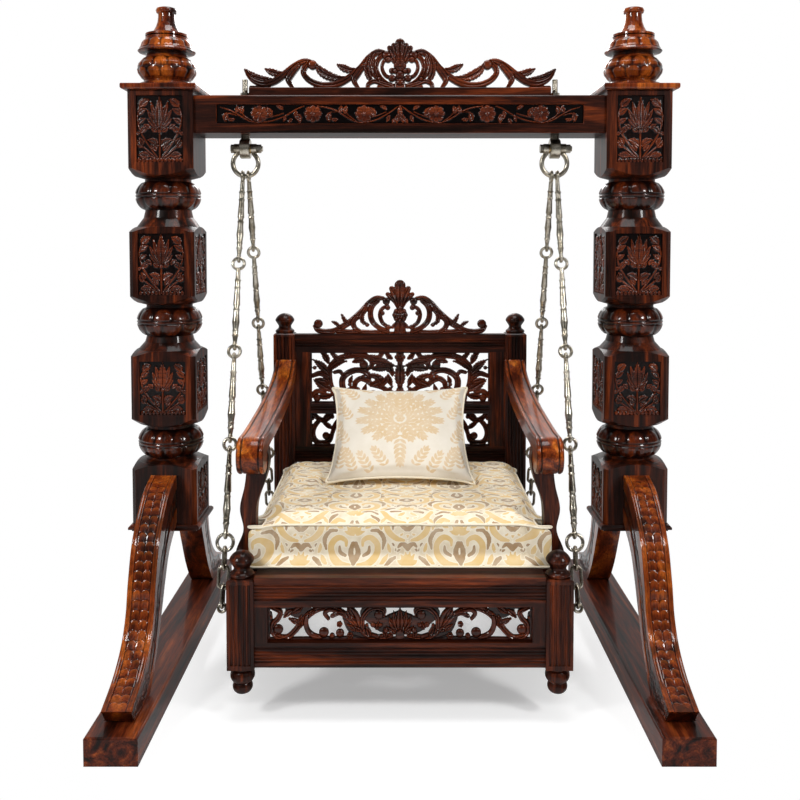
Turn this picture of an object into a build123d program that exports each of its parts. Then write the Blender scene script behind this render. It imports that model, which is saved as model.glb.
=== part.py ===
"""Indoor jhoola: a carved single-seat swing hung on chains in a four-legged stand.

Millimetres, +Z up, +Y towards the back, origin on the floor at the centre of the two floor rails.
"""
from build123d import *
import os
from math import cos, hypot, radians, sin, sqrt, tan

os.makedirs("parts", exist_ok=True)

SIDES = ((-1, "left"), (1, "right"))
ENDS = ((-1, "front"), (1, "rear"))
FIT = 0.05  # radial clearance of bolts, bushes and dowels
SOFT_GAP = 0.3  # clearance round loose and linked pieces
BURIED = 1.0  # how far a joined feature starts inside the body it grows from

# Floor rails
RAIL_LENGTH = 1200
RAIL_WIDTH = 130
RAIL_HEIGHT = 70
RAIL_EDGE = 5

# Posts: turned from square stock, square blocks between turned stretches, listed from the bottom
POST_SPACING = 1376
POST_WIDTH = 188
POST_CHAMFER = 12
POST_CLEARANCE = 332  # open height between a floor rail and the moulding under its post
BLOCK_HEIGHTS = (162, 184, 187, 223)
TURNING_HEIGHTS = (147, 174, 183)
SHOULDER_LOW = 15
SHOULDER_HIGH = 20
BULB_HEIGHT = 84
BULB_RADIUS = 92.5
NECK_RADIUS = 67
UPPER_NECK = 15
COLLAR_SHARE = 0.55  # of what the turned stretch leaves below its bulb
PANEL_WIDTH = 134
PANEL_HEIGHTS = (140, 156, 178, 190)
PANEL_DEPTH = 5
BASE_MOULDING_HEIGHT = 18
BASE_MOULDING_OVERHANG = 9
CAP_HEIGHT = 17
CAP_OVERHANG = 14
FINIAL_HEIGHT = 236
DOWEL_RADIUS = 12
DOWEL_DEPTH = 50  # how far the finial's dowel reaches into the post

# Legs: S-curved boards between the floor rails and the lowest blocks
LEG_WIDTH = 75
LEG_TOP = 566
LEG_TOE = 556  # from the post's centre plane to the toe
LEG_HEEL = 400  # from the post's centre plane to the back of the foot
LEG_FOOT_RISE = 34  # height of the toe's tip above the rail
LEG_BOLT_DROP = 60  # from a leg's top to its bolt into the post
BOLT_RADIUS = 6
BOLT_HEAD_RADIUS = 11
BOLT_HEAD_HEIGHT = 8
BOLT_REACH = 55

# Beam with its strip and crest
BEAM_HEIGHT = 108
BEAM_DEPTH = 150
BEAM_TOP_DROP = 13  # from the top of the posts to the top of the beam
TENON_LENGTH = 40
TENON_SHOULDER = 18
FRIEZE_LENGTH = 1060
FRIEZE_HEIGHT = 57
FRIEZE_DEPTH = 5
STRIP_GAP = 1  # between the strip's ends and the washers of the hangers
STRIP_HEIGHT = 30
STRIP_DEPTH = 60
BEAM_CREST_THICKNESS = 30

# Hangers
HANGER_SPACING = 916
PIVOT_DROP = 38.5  # from the beam's underside to the pivot
HOUSING_RADIUS = 29
HOUSING_WIDTH = 30
HOUSING_COLLAR_RADIUS = 13
STUD_RADIUS = 8
STUD_STICKOUT = 56  # above the beam
NUT_FLATS = 24
NUT_HEIGHT = 14
PIVOT_NUT_FLATS = 22
WASHER_RADIUS = 15
WASHER_HEIGHT = 3
PIVOT_RADIUS = 8
BUSH_WALL = 3
BUSH_FLANGE_RADIUS = 14
BUSH_FLANGE = 1.7
SHACKLE_EAR_WIDTH = 16
SHACKLE_EAR_RADIUS = 14.5
SHACKLE_BAR_RADIUS = 7
SHACKLE_BOW_RADIUS = 37.5
SHACKLE_BOW_DROP = 43.5  # from the pivot to the centre of the bow
SHACKLE_ARC_END = 40  # degrees above level at which the bow's arc meets its straight arms

# Chains
CHAIN_EYE_PITCH = 8.5  # sideways, from the shackle's middle to each chain's top eye
CHAIN_BAR_RADIUS = 4.5
ROD_COUNT = 4
TOP_SPAN_FRONT = 272  # from the shackle's bow to the first ring of a front chain
TOP_SPAN_REAR = 241
ROD_EYE_RADIUS = 10
TOP_EYE_RADIUS = 14.5
ROD_RING_RADIUS = 16.5
LAST_RING_RADIUS = 21.5
FRONT_LINKS = 3
REAR_LINKS = 5
LINK_PITCH = 47.3
LINK_HALF_WIDTH = 12.5
SEAT_EYE_RADIUS = 10
SEAT_EYE_BAR = 4
SEAT_EYE_STANDOFF = 3.5  # between the seat post and the rim of its eye
SEAT_EYE_SHANK = 40
SEAT_EYE_HEIGHT = 294

# Seat frame
SEAT_TAPER = 18  # how far each rear post stands inside the line of the front one
SEAT_DEPTH_SPACING = 764
SEAT_POST_WIDTH = 70
SEAT_POST_BOTTOM = 143
FRONT_POST_TOP = 379
BACK_POST_TOP = 933
FLUTE_COUNT = 5
FLUTE_RADIUS = 4
FLUTE_PITCH = 11.5
FOOT_HEIGHT = 70
SEAT_FINIAL_HEIGHT = 67
SEAT_TOP = 383
RAIL_THICKNESS = 36
FRAME_SETBACK = 8  # of rails behind the faces of the seat posts
SIDE_RAIL_HEIGHT = 120
APRON_TOP_RAIL = 76.5
APRON_OPENING = 93.5
APRON_BOTTOM_RAIL = 65
STILE_WIDTH = 34
PANEL_THICKNESS = 16
REED_RADIUS = 3
REED_PITCH = 9
DECK_THICKNESS = 12
REBATE = 12

# Back frame, from the bottom up
BACK_BOTTOM = 490
BACK_BOTTOM_RAIL = 55
BACK_LOWER_OPENING = 114
BACK_MID_RAIL = 34
BACK_UPPER_OPENING = 175
BACK_TOP_RAIL = 62
BACK_THICKNESS = 32
BACK_STILE_WIDTH = 52
BACK_CREST_THICKNESS = 24

# Arms and supports
ARM_WIDTH = 70
ARM_INSET = 24  # from a front seat post's middle plane in to its arm's
ARM_TOP_AT_POST = 845
ARM_THICKNESS = 46
ARM_SCROLL_RADIUS = 49
ARM_SCROLL_HEIGHT = 689
ARM_SCROLL_REACH = 353  # from the stand's centre plane forward to the scroll's centre
SUPPORT_FRONT = 318
SUPPORT_DEPTH = 45
SUPPORT_WIDTH = 50

# Soft goods
CUSHION_WIDTH = 816
CUSHION_SIDE_GAP = 3  # from the cushion's side out to the front posts' middle plane
CUSHION_FRONT_GAP = 3  # from the cushion's front to the rear faces of the front posts
CUSHION_BACK_GAP = 14
CUSHION_HEIGHT = 109
CUSHION_EDGE = 18
NOTCH_DEPTH = 38  # of the cushion's notches round the arm supports
NOTCH_GAP = 3
PILLOW_WIDTH = 470
PILLOW_LENGTH = 412
PILLOW_THICKNESS = 84
PILLOW_LEAN = 52
PILLOW_EDGE = 26

# Heights and places that follow
MOULDING_BOTTOM = RAIL_HEIGHT + POST_CLEARANCE
POST_BOTTOM = MOULDING_BOTTOM + BASE_MOULDING_HEIGHT
POST_HEIGHT = sum(BLOCK_HEIGHTS) + sum(TURNING_HEIGHTS)
POST_TOP = POST_BOTTOM + POST_HEIGHT
POST_HALF = POST_WIDTH / 2
POST_X = POST_SPACING / 2
BEAM_TOP = POST_TOP - BEAM_TOP_DROP
BEAM_BOTTOM = BEAM_TOP - BEAM_HEIGHT
BEAM_HALF = POST_X - POST_HALF
BEAM_MIDDLE = (BEAM_TOP + BEAM_BOTTOM) / 2
STRIP_TOP = BEAM_TOP + STRIP_HEIGHT
HANGER_X = HANGER_SPACING / 2
STRIP_LENGTH = 2 * (HANGER_X - WASHER_RADIUS - STRIP_GAP)
PIVOT_Z = BEAM_BOTTOM - PIVOT_DROP
EAR_INNER = HOUSING_WIDTH / 2 + BUSH_FLANGE + SOFT_GAP
EAR_OUTER = EAR_INNER + SHACKLE_EAR_WIDTH
SEAT_POST_HALF = SEAT_POST_WIDTH / 2
SEAT_POST_Y = SEAT_DEPTH_SPACING / 2
FRONT_X = CUSHION_WIDTH / 2 + CUSHION_SIDE_GAP
BACK_X = FRONT_X - SEAT_TAPER
APRON_Y = -(SEAT_POST_Y + SEAT_POST_HALF - FRAME_SETBACK)  # front face of the apron
BACK_Y = SEAT_POST_Y  # middle plane of the back frame
POST_REAR_FACE = SEAT_POST_Y - SEAT_POST_HALF
BACK_MID_BOTTOM = BACK_BOTTOM + BACK_BOTTOM_RAIL + BACK_LOWER_OPENING
BACK_TOP_BOTTOM = BACK_MID_BOTTOM + BACK_MID_RAIL + BACK_UPPER_OPENING
BACK_TOP = BACK_TOP_BOTTOM + BACK_TOP_RAIL
BACK_HALF = BACK_X - SEAT_POST_HALF
BACK_OPENING_HALF = BACK_HALF - BACK_STILE_WIDTH
APRON_HALF = FRONT_X - SEAT_POST_HALF
APRON_OPENING_HALF = APRON_HALF - STILE_WIDTH
ARM_X = FRONT_X - ARM_INSET
CUSHION_FRONT = POST_REAR_FACE - CUSHION_FRONT_GAP
CUSHION_BACK = POST_REAR_FACE - CUSHION_BACK_GAP
CUSHION_BOTTOM = SEAT_TOP + SOFT_GAP


def save(piece, name):
    """Label a finished piece and write its STEP file."""
    piece.part.label = name
    export_step(piece.part, f"parts/{name}.step")


def upright(x=0.0, y=0.0):
    """The vertical plane facing the front through (x, y); its own x is X and its own y is Z."""
    return Plane(origin=(x, y, 0), x_dir=(1, 0, 0), z_dir=(0, -1, 0))


def side_plane(x):
    """The vertical plane across X at x; its own x is Y and its own y is Z."""
    return Plane(origin=(x, 0, 0), x_dir=(0, 1, 0), z_dir=(1, 0, 0))


def scroll(points, base=0.0):
    """Draw round a tapering stroke through (x, height above the base, width) points of its centre line."""
    left = []
    right = []
    for i, (x, y, width) in enumerate(points):
        x0, y0, _ = points[max(i - 1, 0)]
        x1, y1, _ = points[min(i + 1, len(points) - 1)]
        length = hypot(x1 - x0, y1 - y0)
        across_x = -(y1 - y0) / length * width / 2
        across_y = (x1 - x0) / length * width / 2
        left.append((x + across_x, base + y + across_y))
        right.append((x - across_x, base + y - across_y))
    Spline(*left)
    Line(left[-1], right[-1])
    Spline(*reversed(right))
    Line(right[0], left[0])


def lobe(x, y, length, width, angle):
    """Fill a leaf or bud, an ellipse that starts at (x, y) and points along the angle."""
    middle_x = x + cos(radians(angle)) * length / 2
    middle_y = y + sin(radians(angle)) * length / 2
    with Locations((middle_x, middle_y)):
        Ellipse(length / 2, width / 2, rotation=angle)


# ---------------------------------------------------------------- floor rails
LEG_BOLT_Y = (LEG_TOE + LEG_HEEL) / 2

for side, hand in SIDES:
    with BuildPart() as base_rail:
        with BuildSketch(Plane.XY):
            with Locations((side * POST_X, 0)):
                Rectangle(RAIL_WIDTH, RAIL_LENGTH)
        extrude(amount=RAIL_HEIGHT)
        fillet(base_rail.edges().group_by(Axis.Z)[-1], RAIL_EDGE)
        for end, _ in ENDS:
            with Locations(Location((side * POST_X, end * LEG_BOLT_Y, 0), (180, 0, 0))):
                CounterBoreHole(BOLT_RADIUS + FIT, BOLT_HEAD_RADIUS + 1, BOLT_HEAD_HEIGHT + 4)
    save(base_rail, f"base_rail_{hand}")

# ---------------------------------------------------------------- posts
CORNER_RADIUS = hypot(POST_HALF, POST_HALF - POST_CHAMFER)
STOCK_RADIUS = CORNER_RADIUS + 10
TENON_HEIGHT = BEAM_HEIGHT - 2 * TENON_SHOULDER
TENON_DEPTH = BEAM_DEPTH - 2 * TENON_SHOULDER


def turned_stretch(low, high):
    """Draw one turned stretch of a post between the corners of two blocks."""
    face_low = low + SHOULDER_LOW
    face_high = high - SHOULDER_HIGH
    bulb_high = face_high - UPPER_NECK
    bulb_low = bulb_high - BULB_HEIGHT
    collar_high = face_low + COLLAR_SHARE * (bulb_low - face_low)
    collar_radius = BULB_RADIUS - 1
    Line((STOCK_RADIUS, low), (CORNER_RADIUS, low))
    Line((CORNER_RADIUS, low), (POST_HALF, face_low))
    Line((POST_HALF, face_low), (collar_radius, face_low))
    Line((collar_radius, face_low), (NECK_RADIUS + 5, collar_high))
    Line((NECK_RADIUS + 5, collar_high), (NECK_RADIUS, bulb_low))
    bulb_middle = (bulb_low + bulb_high) / 2
    ThreePointArc((NECK_RADIUS, bulb_low), (BULB_RADIUS, bulb_middle), (NECK_RADIUS, bulb_high))
    Line((NECK_RADIUS, bulb_high), (NECK_RADIUS, face_high - UPPER_NECK / 2))
    Line((NECK_RADIUS, face_high - UPPER_NECK / 2), (POST_HALF, face_high))
    Line((POST_HALF, face_high), (CORNER_RADIUS, high))
    Line((CORNER_RADIUS, high), (STOCK_RADIUS, high))


def panel_faces(block):
    """The headings of the faces of a block that carry a carved panel, in degrees from the front."""
    if block == 0:
        return (90, 270)  # the legs stand against the front and rear of the lowest block
    if block == len(BLOCK_HEIGHTS) - 1:
        return (0, 180)  # the beam meets the side of the highest block
    return (0, 90, 180, 270)


for side, hand in SIDES:
    post_x = side * POST_X
    with BuildPart() as post:
        with BuildSketch(Plane.XY.offset(POST_BOTTOM)) as stock:
            with Locations((post_x, 0)):
                Rectangle(POST_WIDTH, POST_WIDTH)
            chamfer(stock.vertices(), POST_CHAMFER)
        extrude(amount=POST_HEIGHT)
        with BuildSketch(upright(post_x)):
            with BuildLine():
                Line((0, POST_BOTTOM), (STOCK_RADIUS, POST_BOTTOM))
                level = POST_BOTTOM
                for index, turning in enumerate(TURNING_HEIGHTS):
                    block_top = level + BLOCK_HEIGHTS[index]
                    Line((STOCK_RADIUS, level), (STOCK_RADIUS, block_top))
                    turned_stretch(block_top, block_top + turning)
                    level = block_top + turning
                Line((STOCK_RADIUS, level), (STOCK_RADIUS, POST_TOP))
                Line((STOCK_RADIUS, POST_TOP), (0, POST_TOP))
                Line((0, POST_TOP), (0, POST_BOTTOM))
            make_face()
        revolve(axis=Axis((post_x, 0, 0), (0, 0, 1)), mode=Mode.INTERSECT)
        # sunk panels for the carving
        level = POST_BOTTOM
        for index, block_height in enumerate(BLOCK_HEIGHTS):
            for heading in panel_faces(index):
                outward = (sin(radians(heading)), -cos(radians(heading)), 0)
                along = (cos(radians(heading)), sin(radians(heading)), 0)
                centre = (post_x + outward[0] * POST_HALF, outward[1] * POST_HALF, level + block_height / 2)
                with BuildSketch(Plane(origin=centre, x_dir=along, z_dir=outward)):
                    Rectangle(PANEL_WIDTH, PANEL_HEIGHTS[index])
                extrude(amount=-PANEL_DEPTH, mode=Mode.SUBTRACT)
            if index < len(TURNING_HEIGHTS):
                level += block_height + TURNING_HEIGHTS[index]
        # mortise for the beam and socket for the finial's dowel
        with Locations((side * (BEAM_HALF + TENON_LENGTH / 2), 0, BEAM_MIDDLE)):
            Box(TENON_LENGTH, TENON_DEPTH, TENON_HEIGHT, mode=Mode.SUBTRACT)
        with Locations((post_x, 0, POST_TOP)):
            Hole(DOWEL_RADIUS + FIT, DOWEL_DEPTH + 2)
        # sockets for the bolts of the two legs
        for end, _ in ENDS:
            socket = Plane(origin=(post_x, end * POST_HALF, LEG_TOP - LEG_BOLT_DROP), z_dir=(0, end, 0))
            with BuildSketch(socket):
                Circle(BOLT_RADIUS + FIT)
            extrude(amount=-(BOLT_REACH + 1), mode=Mode.SUBTRACT)
    save(post, f"post_{hand}")

# ---------------------------------------------------------------- mouldings under the posts
with BuildPart() as post_base_mouldings:
    with BuildSketch(Plane.XY.offset(MOULDING_BOTTOM)):
        with Locations((-POST_X, 0), (POST_X, 0)):
            Rectangle(POST_WIDTH, POST_WIDTH)
    extrude(amount=BASE_MOULDING_HEIGHT)
    with BuildSketch(Plane.XY.offset(MOULDING_BOTTOM + BASE_MOULDING_HEIGHT / 3)):
        with Locations((-POST_X, 0), (POST_X, 0)):
            Rectangle(POST_WIDTH + 2 * BASE_MOULDING_OVERHANG, POST_WIDTH + 2 * BASE_MOULDING_OVERHANG)
    extrude(amount=BASE_MOULDING_HEIGHT * 2 / 3)
    moulding_top = post_base_mouldings.edges().filter_by(GeomType.LINE).group_by(Axis.Z)[-1]
    chamfer(moulding_top, BASE_MOULDING_OVERHANG * 0.6)
save(post_base_mouldings, "post_base_mouldings")

# ---------------------------------------------------------------- cap slabs and finials
FINIAL_BASE = POST_TOP + CAP_HEIGHT
CAP_WIDTH = POST_WIDTH + 2 * CAP_OVERHANG


def finial_profile():
    """Draw half of a finial in the upright plane through its axis, with its dowel."""
    base = FINIAL_BASE
    top = base + FINIAL_HEIGHT
    Line((0, POST_TOP - DOWEL_DEPTH), (DOWEL_RADIUS, POST_TOP - DOWEL_DEPTH))
    Line((DOWEL_RADIUS, POST_TOP - DOWEL_DEPTH), (DOWEL_RADIUS, base))
    Line((DOWEL_RADIUS, base), (81, base))
    ThreePointArc((81, base), (84, base + 12), (78, base + 24))
    Line((78, base + 24), (64, base + 34))
    ThreePointArc((64, base + 34), (83.5, base + 70), (62, base + 104))
    Line((62, base + 104), (82, base + 117))
    Line((82, base + 117), (68, base + 140))
    Line((68, base + 140), (60, base + 146))
    ThreePointArc((60, base + 146), (64, base + 155), (58, base + 165))
    Line((58, base + 165), (42, base + 169))
    ThreePointArc((42, base + 169), (29, base + 192), (24, top - 20))
    Line((24, top - 20), (30, top - 9))
    Line((30, top - 9), (28, top))
    Line((28, top), (0, top))
    Line((0, top), (0, POST_TOP - DOWEL_DEPTH))


for side, hand in SIDES:
    post_x = side * POST_X
    with BuildPart() as post_cap:
        with BuildSketch(Plane.XY.offset(POST_TOP)):
            with Locations((post_x, 0)):
                Rectangle(CAP_WIDTH, CAP_WIDTH)
                Circle(DOWEL_RADIUS + FIT, mode=Mode.SUBTRACT)
        extrude(amount=CAP_HEIGHT)
        cap_edges = post_cap.edges().filter_by(GeomType.LINE)
        fillet(cap_edges.group_by(Axis.Z)[0], CAP_HEIGHT * 0.4)
        fillet(cap_edges.group_by(Axis.Z)[-1], CAP_HEIGHT * 0.25)
    save(post_cap, f"post_cap_{hand}")
    with BuildPart() as finial:
        with BuildSketch(upright(post_x)):
            with BuildLine():
                finial_profile()
            make_face()
        revolve(axis=Axis((post_x, 0, 0), (0, 0, 1)))
    save(finial, f"finial_{hand}")

# ---------------------------------------------------------------- legs
TOE_Z = RAIL_HEIGHT + LEG_FOOT_RISE
TOE_LIP = 12  # thickness of the rounded toe
TOE_UNDERCUT = 28  # from the toe's tip back to the block under it
# outlines as shares of the way from the post's face to the toe, and from the toe up to the leg's top
LEG_FRONT = ((0, 1), (0.186, 0.931), (0.398, 0.736), (0.502, 0.511), (0.554, 0.338), (0.645, 0.199),
             (0.797, 0.091), (1, 0.013))
LEG_BACK = ((0.494, 0.104), (0.364, 0.316), (0.29, 0.446), (0.186, 0.589), (0, 0.706))


def leg_point(end, out, rise):
    """A point of a leg's outline, from its shares outwards and upwards."""
    return (end * (POST_HALF + out * (LEG_TOE - POST_HALF)), TOE_Z + rise * (LEG_TOP - TOE_Z))


for side, hand in SIDES:
    for end, place in ENDS:
        leg_x = side * POST_X
        with BuildPart() as leg:
            with BuildSketch(side_plane(leg_x - LEG_WIDTH / 2)):
                with BuildLine():
                    front = Spline(*[leg_point(end, out, rise) for out, rise in LEG_FRONT])
                    lip = Line(front @ 1, (end * (LEG_TOE - 4), TOE_Z - TOE_LIP))
                    under = Line(lip @ 1, (end * (LEG_TOE - TOE_UNDERCUT), TOE_Z - TOE_LIP - 2))
                    block = Line(under @ 1, (end * (LEG_TOE - TOE_UNDERCUT), RAIL_HEIGHT))
                    sole = Line(block @ 1, (end * LEG_HEEL, RAIL_HEIGHT))
                    back = Spline(sole @ 1, *[leg_point(end, out, rise) for out, rise in LEG_BACK])
                    Line(back @ 1, front @ 0)
                make_face()
            extrude(amount=LEG_WIDTH)
            foot_bolt = Plane(origin=(leg_x, end * LEG_BOLT_Y, RAIL_HEIGHT), z_dir=(0, 0, -1))
            with BuildSketch(foot_bolt):
                Circle(BOLT_RADIUS + FIT)
            extrude(amount=-(BOLT_REACH + 1), mode=Mode.SUBTRACT)
            post_bolt = Plane(origin=(leg_x, end * POST_HALF, LEG_TOP - LEG_BOLT_DROP), z_dir=(0, -end, 0))
            with BuildSketch(post_bolt):
                Circle(BOLT_RADIUS + FIT)
            extrude(amount=-(BOLT_REACH + 1), mode=Mode.SUBTRACT)
        save(leg, f"leg_{place}_{hand}")

with BuildPart() as leg_bolts:
    for side, _ in SIDES:
        for end, _ in ENDS:
            with BuildSketch(Plane.XY.offset(BOLT_HEAD_HEIGHT / 2)):
                with Locations((side * POST_X, end * LEG_BOLT_Y)):
                    RegularPolygon(BOLT_HEAD_RADIUS, 6)
            extrude(amount=BOLT_HEAD_HEIGHT)
            with BuildSketch(Plane.XY.offset(BOLT_HEAD_HEIGHT)):
                with Locations((side * POST_X, end * LEG_BOLT_Y)):
                    Circle(BOLT_RADIUS)
            extrude(amount=RAIL_HEIGHT - BOLT_HEAD_HEIGHT + BOLT_REACH)
            bolt_start = end * (POST_HALF - BOLT_REACH)
            bolt_z = LEG_TOP - LEG_BOLT_DROP
            with BuildSketch(Plane(origin=(side * POST_X, bolt_start, bolt_z), z_dir=(0, end, 0))):
                Circle(BOLT_RADIUS)
            extrude(amount=2 * BOLT_REACH)
save(leg_bolts, "leg_bolts")

# ---------------------------------------------------------------- top beam
with BuildPart() as top_beam:
    with Locations((0, 0, BEAM_MIDDLE)):
        Box(2 * BEAM_HALF, BEAM_DEPTH, BEAM_HEIGHT)
    long_edges = top_beam.edges().filter_by(Axis.X)
    chamfer(long_edges, 3)
    with Locations((0, 0, BEAM_MIDDLE)):
        Box(2 * (BEAM_HALF + TENON_LENGTH), TENON_DEPTH, TENON_HEIGHT)
    for end, _ in ENDS:
        with Locations((0, end * (BEAM_DEPTH - FRIEZE_DEPTH) / 2, BEAM_MIDDLE)):
            Box(FRIEZE_LENGTH, FRIEZE_DEPTH, FRIEZE_HEIGHT, mode=Mode.SUBTRACT)
    with BuildSketch(Plane.XY.offset(BEAM_TOP)):
        with Locations((-HANGER_X, 0), (HANGER_X, 0)):
            Circle(STUD_RADIUS + FIT)
    extrude(amount=-BEAM_HEIGHT, mode=Mode.SUBTRACT)
save(top_beam, "top_beam")

with BuildPart() as beam_crest_strip:
    with BuildSketch(upright(0, STRIP_DEPTH / 2)):
        with Locations((0, BEAM_TOP + STRIP_HEIGHT / 2)):
            Rectangle(STRIP_LENGTH, STRIP_HEIGHT)
    extrude(amount=STRIP_DEPTH)
    fillet(beam_crest_strip.edges().group_by(Axis.Z)[-1], 3)
save(beam_crest_strip, "beam_crest_strip")

# Centre lines of the left half of the beam's crest: across, height above the strip, width
BEAM_CREST_WAVE = ((-449, 54, 8), (-444, 36, 15), (-430, 20, 17), (-404, 12, 17), (-373, 20, 18),
                   (-343, 40, 18), (-314, 63, 17), (-289, 78, 15), (-268, 80, 13), (-254, 72, 10))
BEAM_CREST_FALL = ((-300, 66, 14), (-318, 44, 17), (-330, 24, 15), (-316, -6, 9))
BEAM_CREST_SECOND = ((-262, 78, 10), (-281, 62, 14), (-284, 45, 15), (-269, 26, 15), (-244, 12, 16),
                     (-213, 8, 17), (-180, 14, 18), (-148, 32, 18), (-117, 58, 18), (-92, 88, 18),
                     (-66, 108, 17), (-40, 105, 12))
BEAM_CREST_BRANCH = ((-108, 64, 14), (-124, 44, 16), (-136, 24, 14), (-122, -6, 9))
BEAM_CREST_LOOP = ((-44, 102, 12), (-64, 86, 14), (-71, 62, 14), (-60, 34, 14), (-38, 14, 13), (-14, 2, 12))
BEAM_CREST_FOOT = ((-96, -6, 9), (-88, 14, 11), (-70, 18, 11), (-46, 10, 11), (-24, -6, 11))
BEAM_CREST_ACANTHUS = ((-98, 84, 22), (-95, 56, 26), (-90, 30, 18), (-82, 14, 10))

with BuildPart() as beam_crest:
    with BuildSketch(upright(0, BEAM_CREST_THICKNESS / 2)):
        for stroke in (BEAM_CREST_WAVE, BEAM_CREST_FALL, BEAM_CREST_SECOND, BEAM_CREST_BRANCH,
                       BEAM_CREST_LOOP, BEAM_CREST_FOOT, BEAM_CREST_ACANTHUS):
            with BuildLine():
                scroll(stroke, STRIP_TOP)
            make_face()
        lobe(-340, STRIP_TOP + 46, 62, 22, 168)  # leaf on the first wave
        lobe(-150, STRIP_TOP + 42, 56, 22, 152)  # leaf on the second wave
        lobe(-176, STRIP_TOP + 22, 88, 26, 138)  # long leaf that reaches the first curl
        with Locations((-259, STRIP_TOP + 73), (-39, STRIP_TOP + 98)):
            Circle(11)
        with Locations((-412, STRIP_TOP + 5), (-222, STRIP_TOP + 5)):
            Rectangle(54, 12)
        mirror(about=Plane.YZ)
        for angle, length in ((90, 88), (68, 82), (112, 82), (46, 72), (134, 72)):
            lobe(0, STRIP_TOP + 55, length, 26, angle)
        with Locations((0, STRIP_TOP + 38)):
            Circle(20)
        with Locations((0, STRIP_TOP + 12)):
            Rectangle(30, 28)
        with Locations((0, STRIP_TOP - 10)):
            Rectangle(STRIP_LENGTH + 20, 20, mode=Mode.SUBTRACT)
    extrude(amount=BEAM_CREST_THICKNESS)
save(beam_crest, "beam_crest")

# ---------------------------------------------------------------- hangers
BUSH_OUTER = PIVOT_RADIUS + FIT + BUSH_WALL
NUT_RADIUS = NUT_FLATS / 2 / cos(radians(30))
PIVOT_NUT_RADIUS = PIVOT_NUT_FLATS / 2 / cos(radians(30))

for side, hand in SIDES:
    with BuildPart() as hanger_housing:
        with BuildSketch(side_plane(side * HANGER_X - HOUSING_WIDTH / 2)):
            with Locations((0, PIVOT_Z)):
                Circle(HOUSING_RADIUS)
        extrude(amount=HOUSING_WIDTH)
        chamfer(hanger_housing.edges().filter_by(GeomType.CIRCLE), 2)
        with BuildSketch(Plane.XY.offset(PIVOT_Z + HOUSING_RADIUS / 2)):
            with Locations((side * HANGER_X, 0)):
                Circle(HOUSING_COLLAR_RADIUS)
        extrude(amount=PIVOT_DROP - HOUSING_RADIUS / 2)
        with BuildSketch(Plane.XY.offset(PIVOT_Z + HOUSING_RADIUS / 2)):
            with Locations((side * HANGER_X, 0)):
                Circle(STUD_RADIUS)
        extrude(amount=BEAM_TOP + STUD_STICKOUT - PIVOT_Z - HOUSING_RADIUS / 2)
        with BuildSketch(side_plane(side * HANGER_X - HOUSING_WIDTH / 2)):
            with Locations((0, PIVOT_Z)):
                Circle(BUSH_OUTER + FIT)
        extrude(amount=HOUSING_WIDTH, mode=Mode.SUBTRACT)
    save(hanger_housing, f"hanger_housing_{hand}")

with BuildPart() as hanger_nuts:
    with BuildSketch(Plane.XY.offset(BEAM_TOP)):
        with Locations((-HANGER_X, 0), (HANGER_X, 0)):
            Circle(WASHER_RADIUS)
            Circle(STUD_RADIUS + FIT, mode=Mode.SUBTRACT)
    extrude(amount=WASHER_HEIGHT)
    with BuildSketch(Plane.XY.offset(BEAM_TOP + WASHER_HEIGHT)):
        with Locations((-HANGER_X, 0), (HANGER_X, 0)):
            RegularPolygon(NUT_RADIUS, 6)
            Circle(STUD_RADIUS + FIT, mode=Mode.SUBTRACT)
    extrude(amount=NUT_HEIGHT)
save(hanger_nuts, "hanger_nuts")

with BuildPart() as hanger_bushes:
    for side, _ in SIDES:
        for face in (-1, 1):
            middle = side * HANGER_X
            rim = middle + face * HOUSING_WIDTH / 2
            outward = Plane(origin=(rim, 0, PIVOT_Z), z_dir=(face, 0, 0))
            with BuildSketch(outward):
                Circle(BUSH_FLANGE_RADIUS)
                Circle(PIVOT_RADIUS + FIT, mode=Mode.SUBTRACT)
            extrude(amount=BUSH_FLANGE)
            with BuildSketch(outward):
                Circle(BUSH_OUTER)
                Circle(PIVOT_RADIUS + FIT, mode=Mode.SUBTRACT)
            extrude(amount=-(HOUSING_WIDTH / 2 - 1))
save(hanger_bushes, "hanger_bushes")

for side, hand in SIDES:
    middle = side * HANGER_X
    with BuildPart() as pivot_bolt:
        with BuildSketch(side_plane(middle - EAR_OUTER)):
            with Locations((0, PIVOT_Z)):
                Circle(PIVOT_RADIUS)
        extrude(amount=2 * EAR_OUTER + NUT_HEIGHT + 4)
        with BuildSketch(Plane(origin=(middle - EAR_OUTER, 0, PIVOT_Z), z_dir=(-1, 0, 0))):
            RegularPolygon(PIVOT_NUT_RADIUS, 6)
        extrude(amount=10)
    save(pivot_bolt, f"pivot_bolt_{hand}")

with BuildPart() as pivot_nuts:
    for side, _ in SIDES:
        with BuildSketch(Plane(origin=(side * HANGER_X + EAR_OUTER, 0, PIVOT_Z), z_dir=(1, 0, 0))):
            RegularPolygon(PIVOT_NUT_RADIUS, 6)
            Circle(PIVOT_RADIUS + FIT, mode=Mode.SUBTRACT)
        extrude(amount=NUT_HEIGHT)
save(pivot_nuts, "pivot_nuts")

# ---------------------------------------------------------------- shackles
EAR_MIDDLE = (EAR_INNER + EAR_OUTER) / 2
ARC_X = SHACKLE_BOW_RADIUS * cos(radians(SHACKLE_ARC_END))
ARC_Z = PIVOT_Z - SHACKLE_BOW_DROP + SHACKLE_BOW_RADIUS * sin(radians(SHACKLE_ARC_END))
ARM_END_Z = ARC_Z + (ARC_X - EAR_MIDDLE) / tan(radians(SHACKLE_ARC_END))  # inside the ear
BOW_BOTTOM = PIVOT_Z - SHACKLE_BOW_DROP - SHACKLE_BOW_RADIUS

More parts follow.
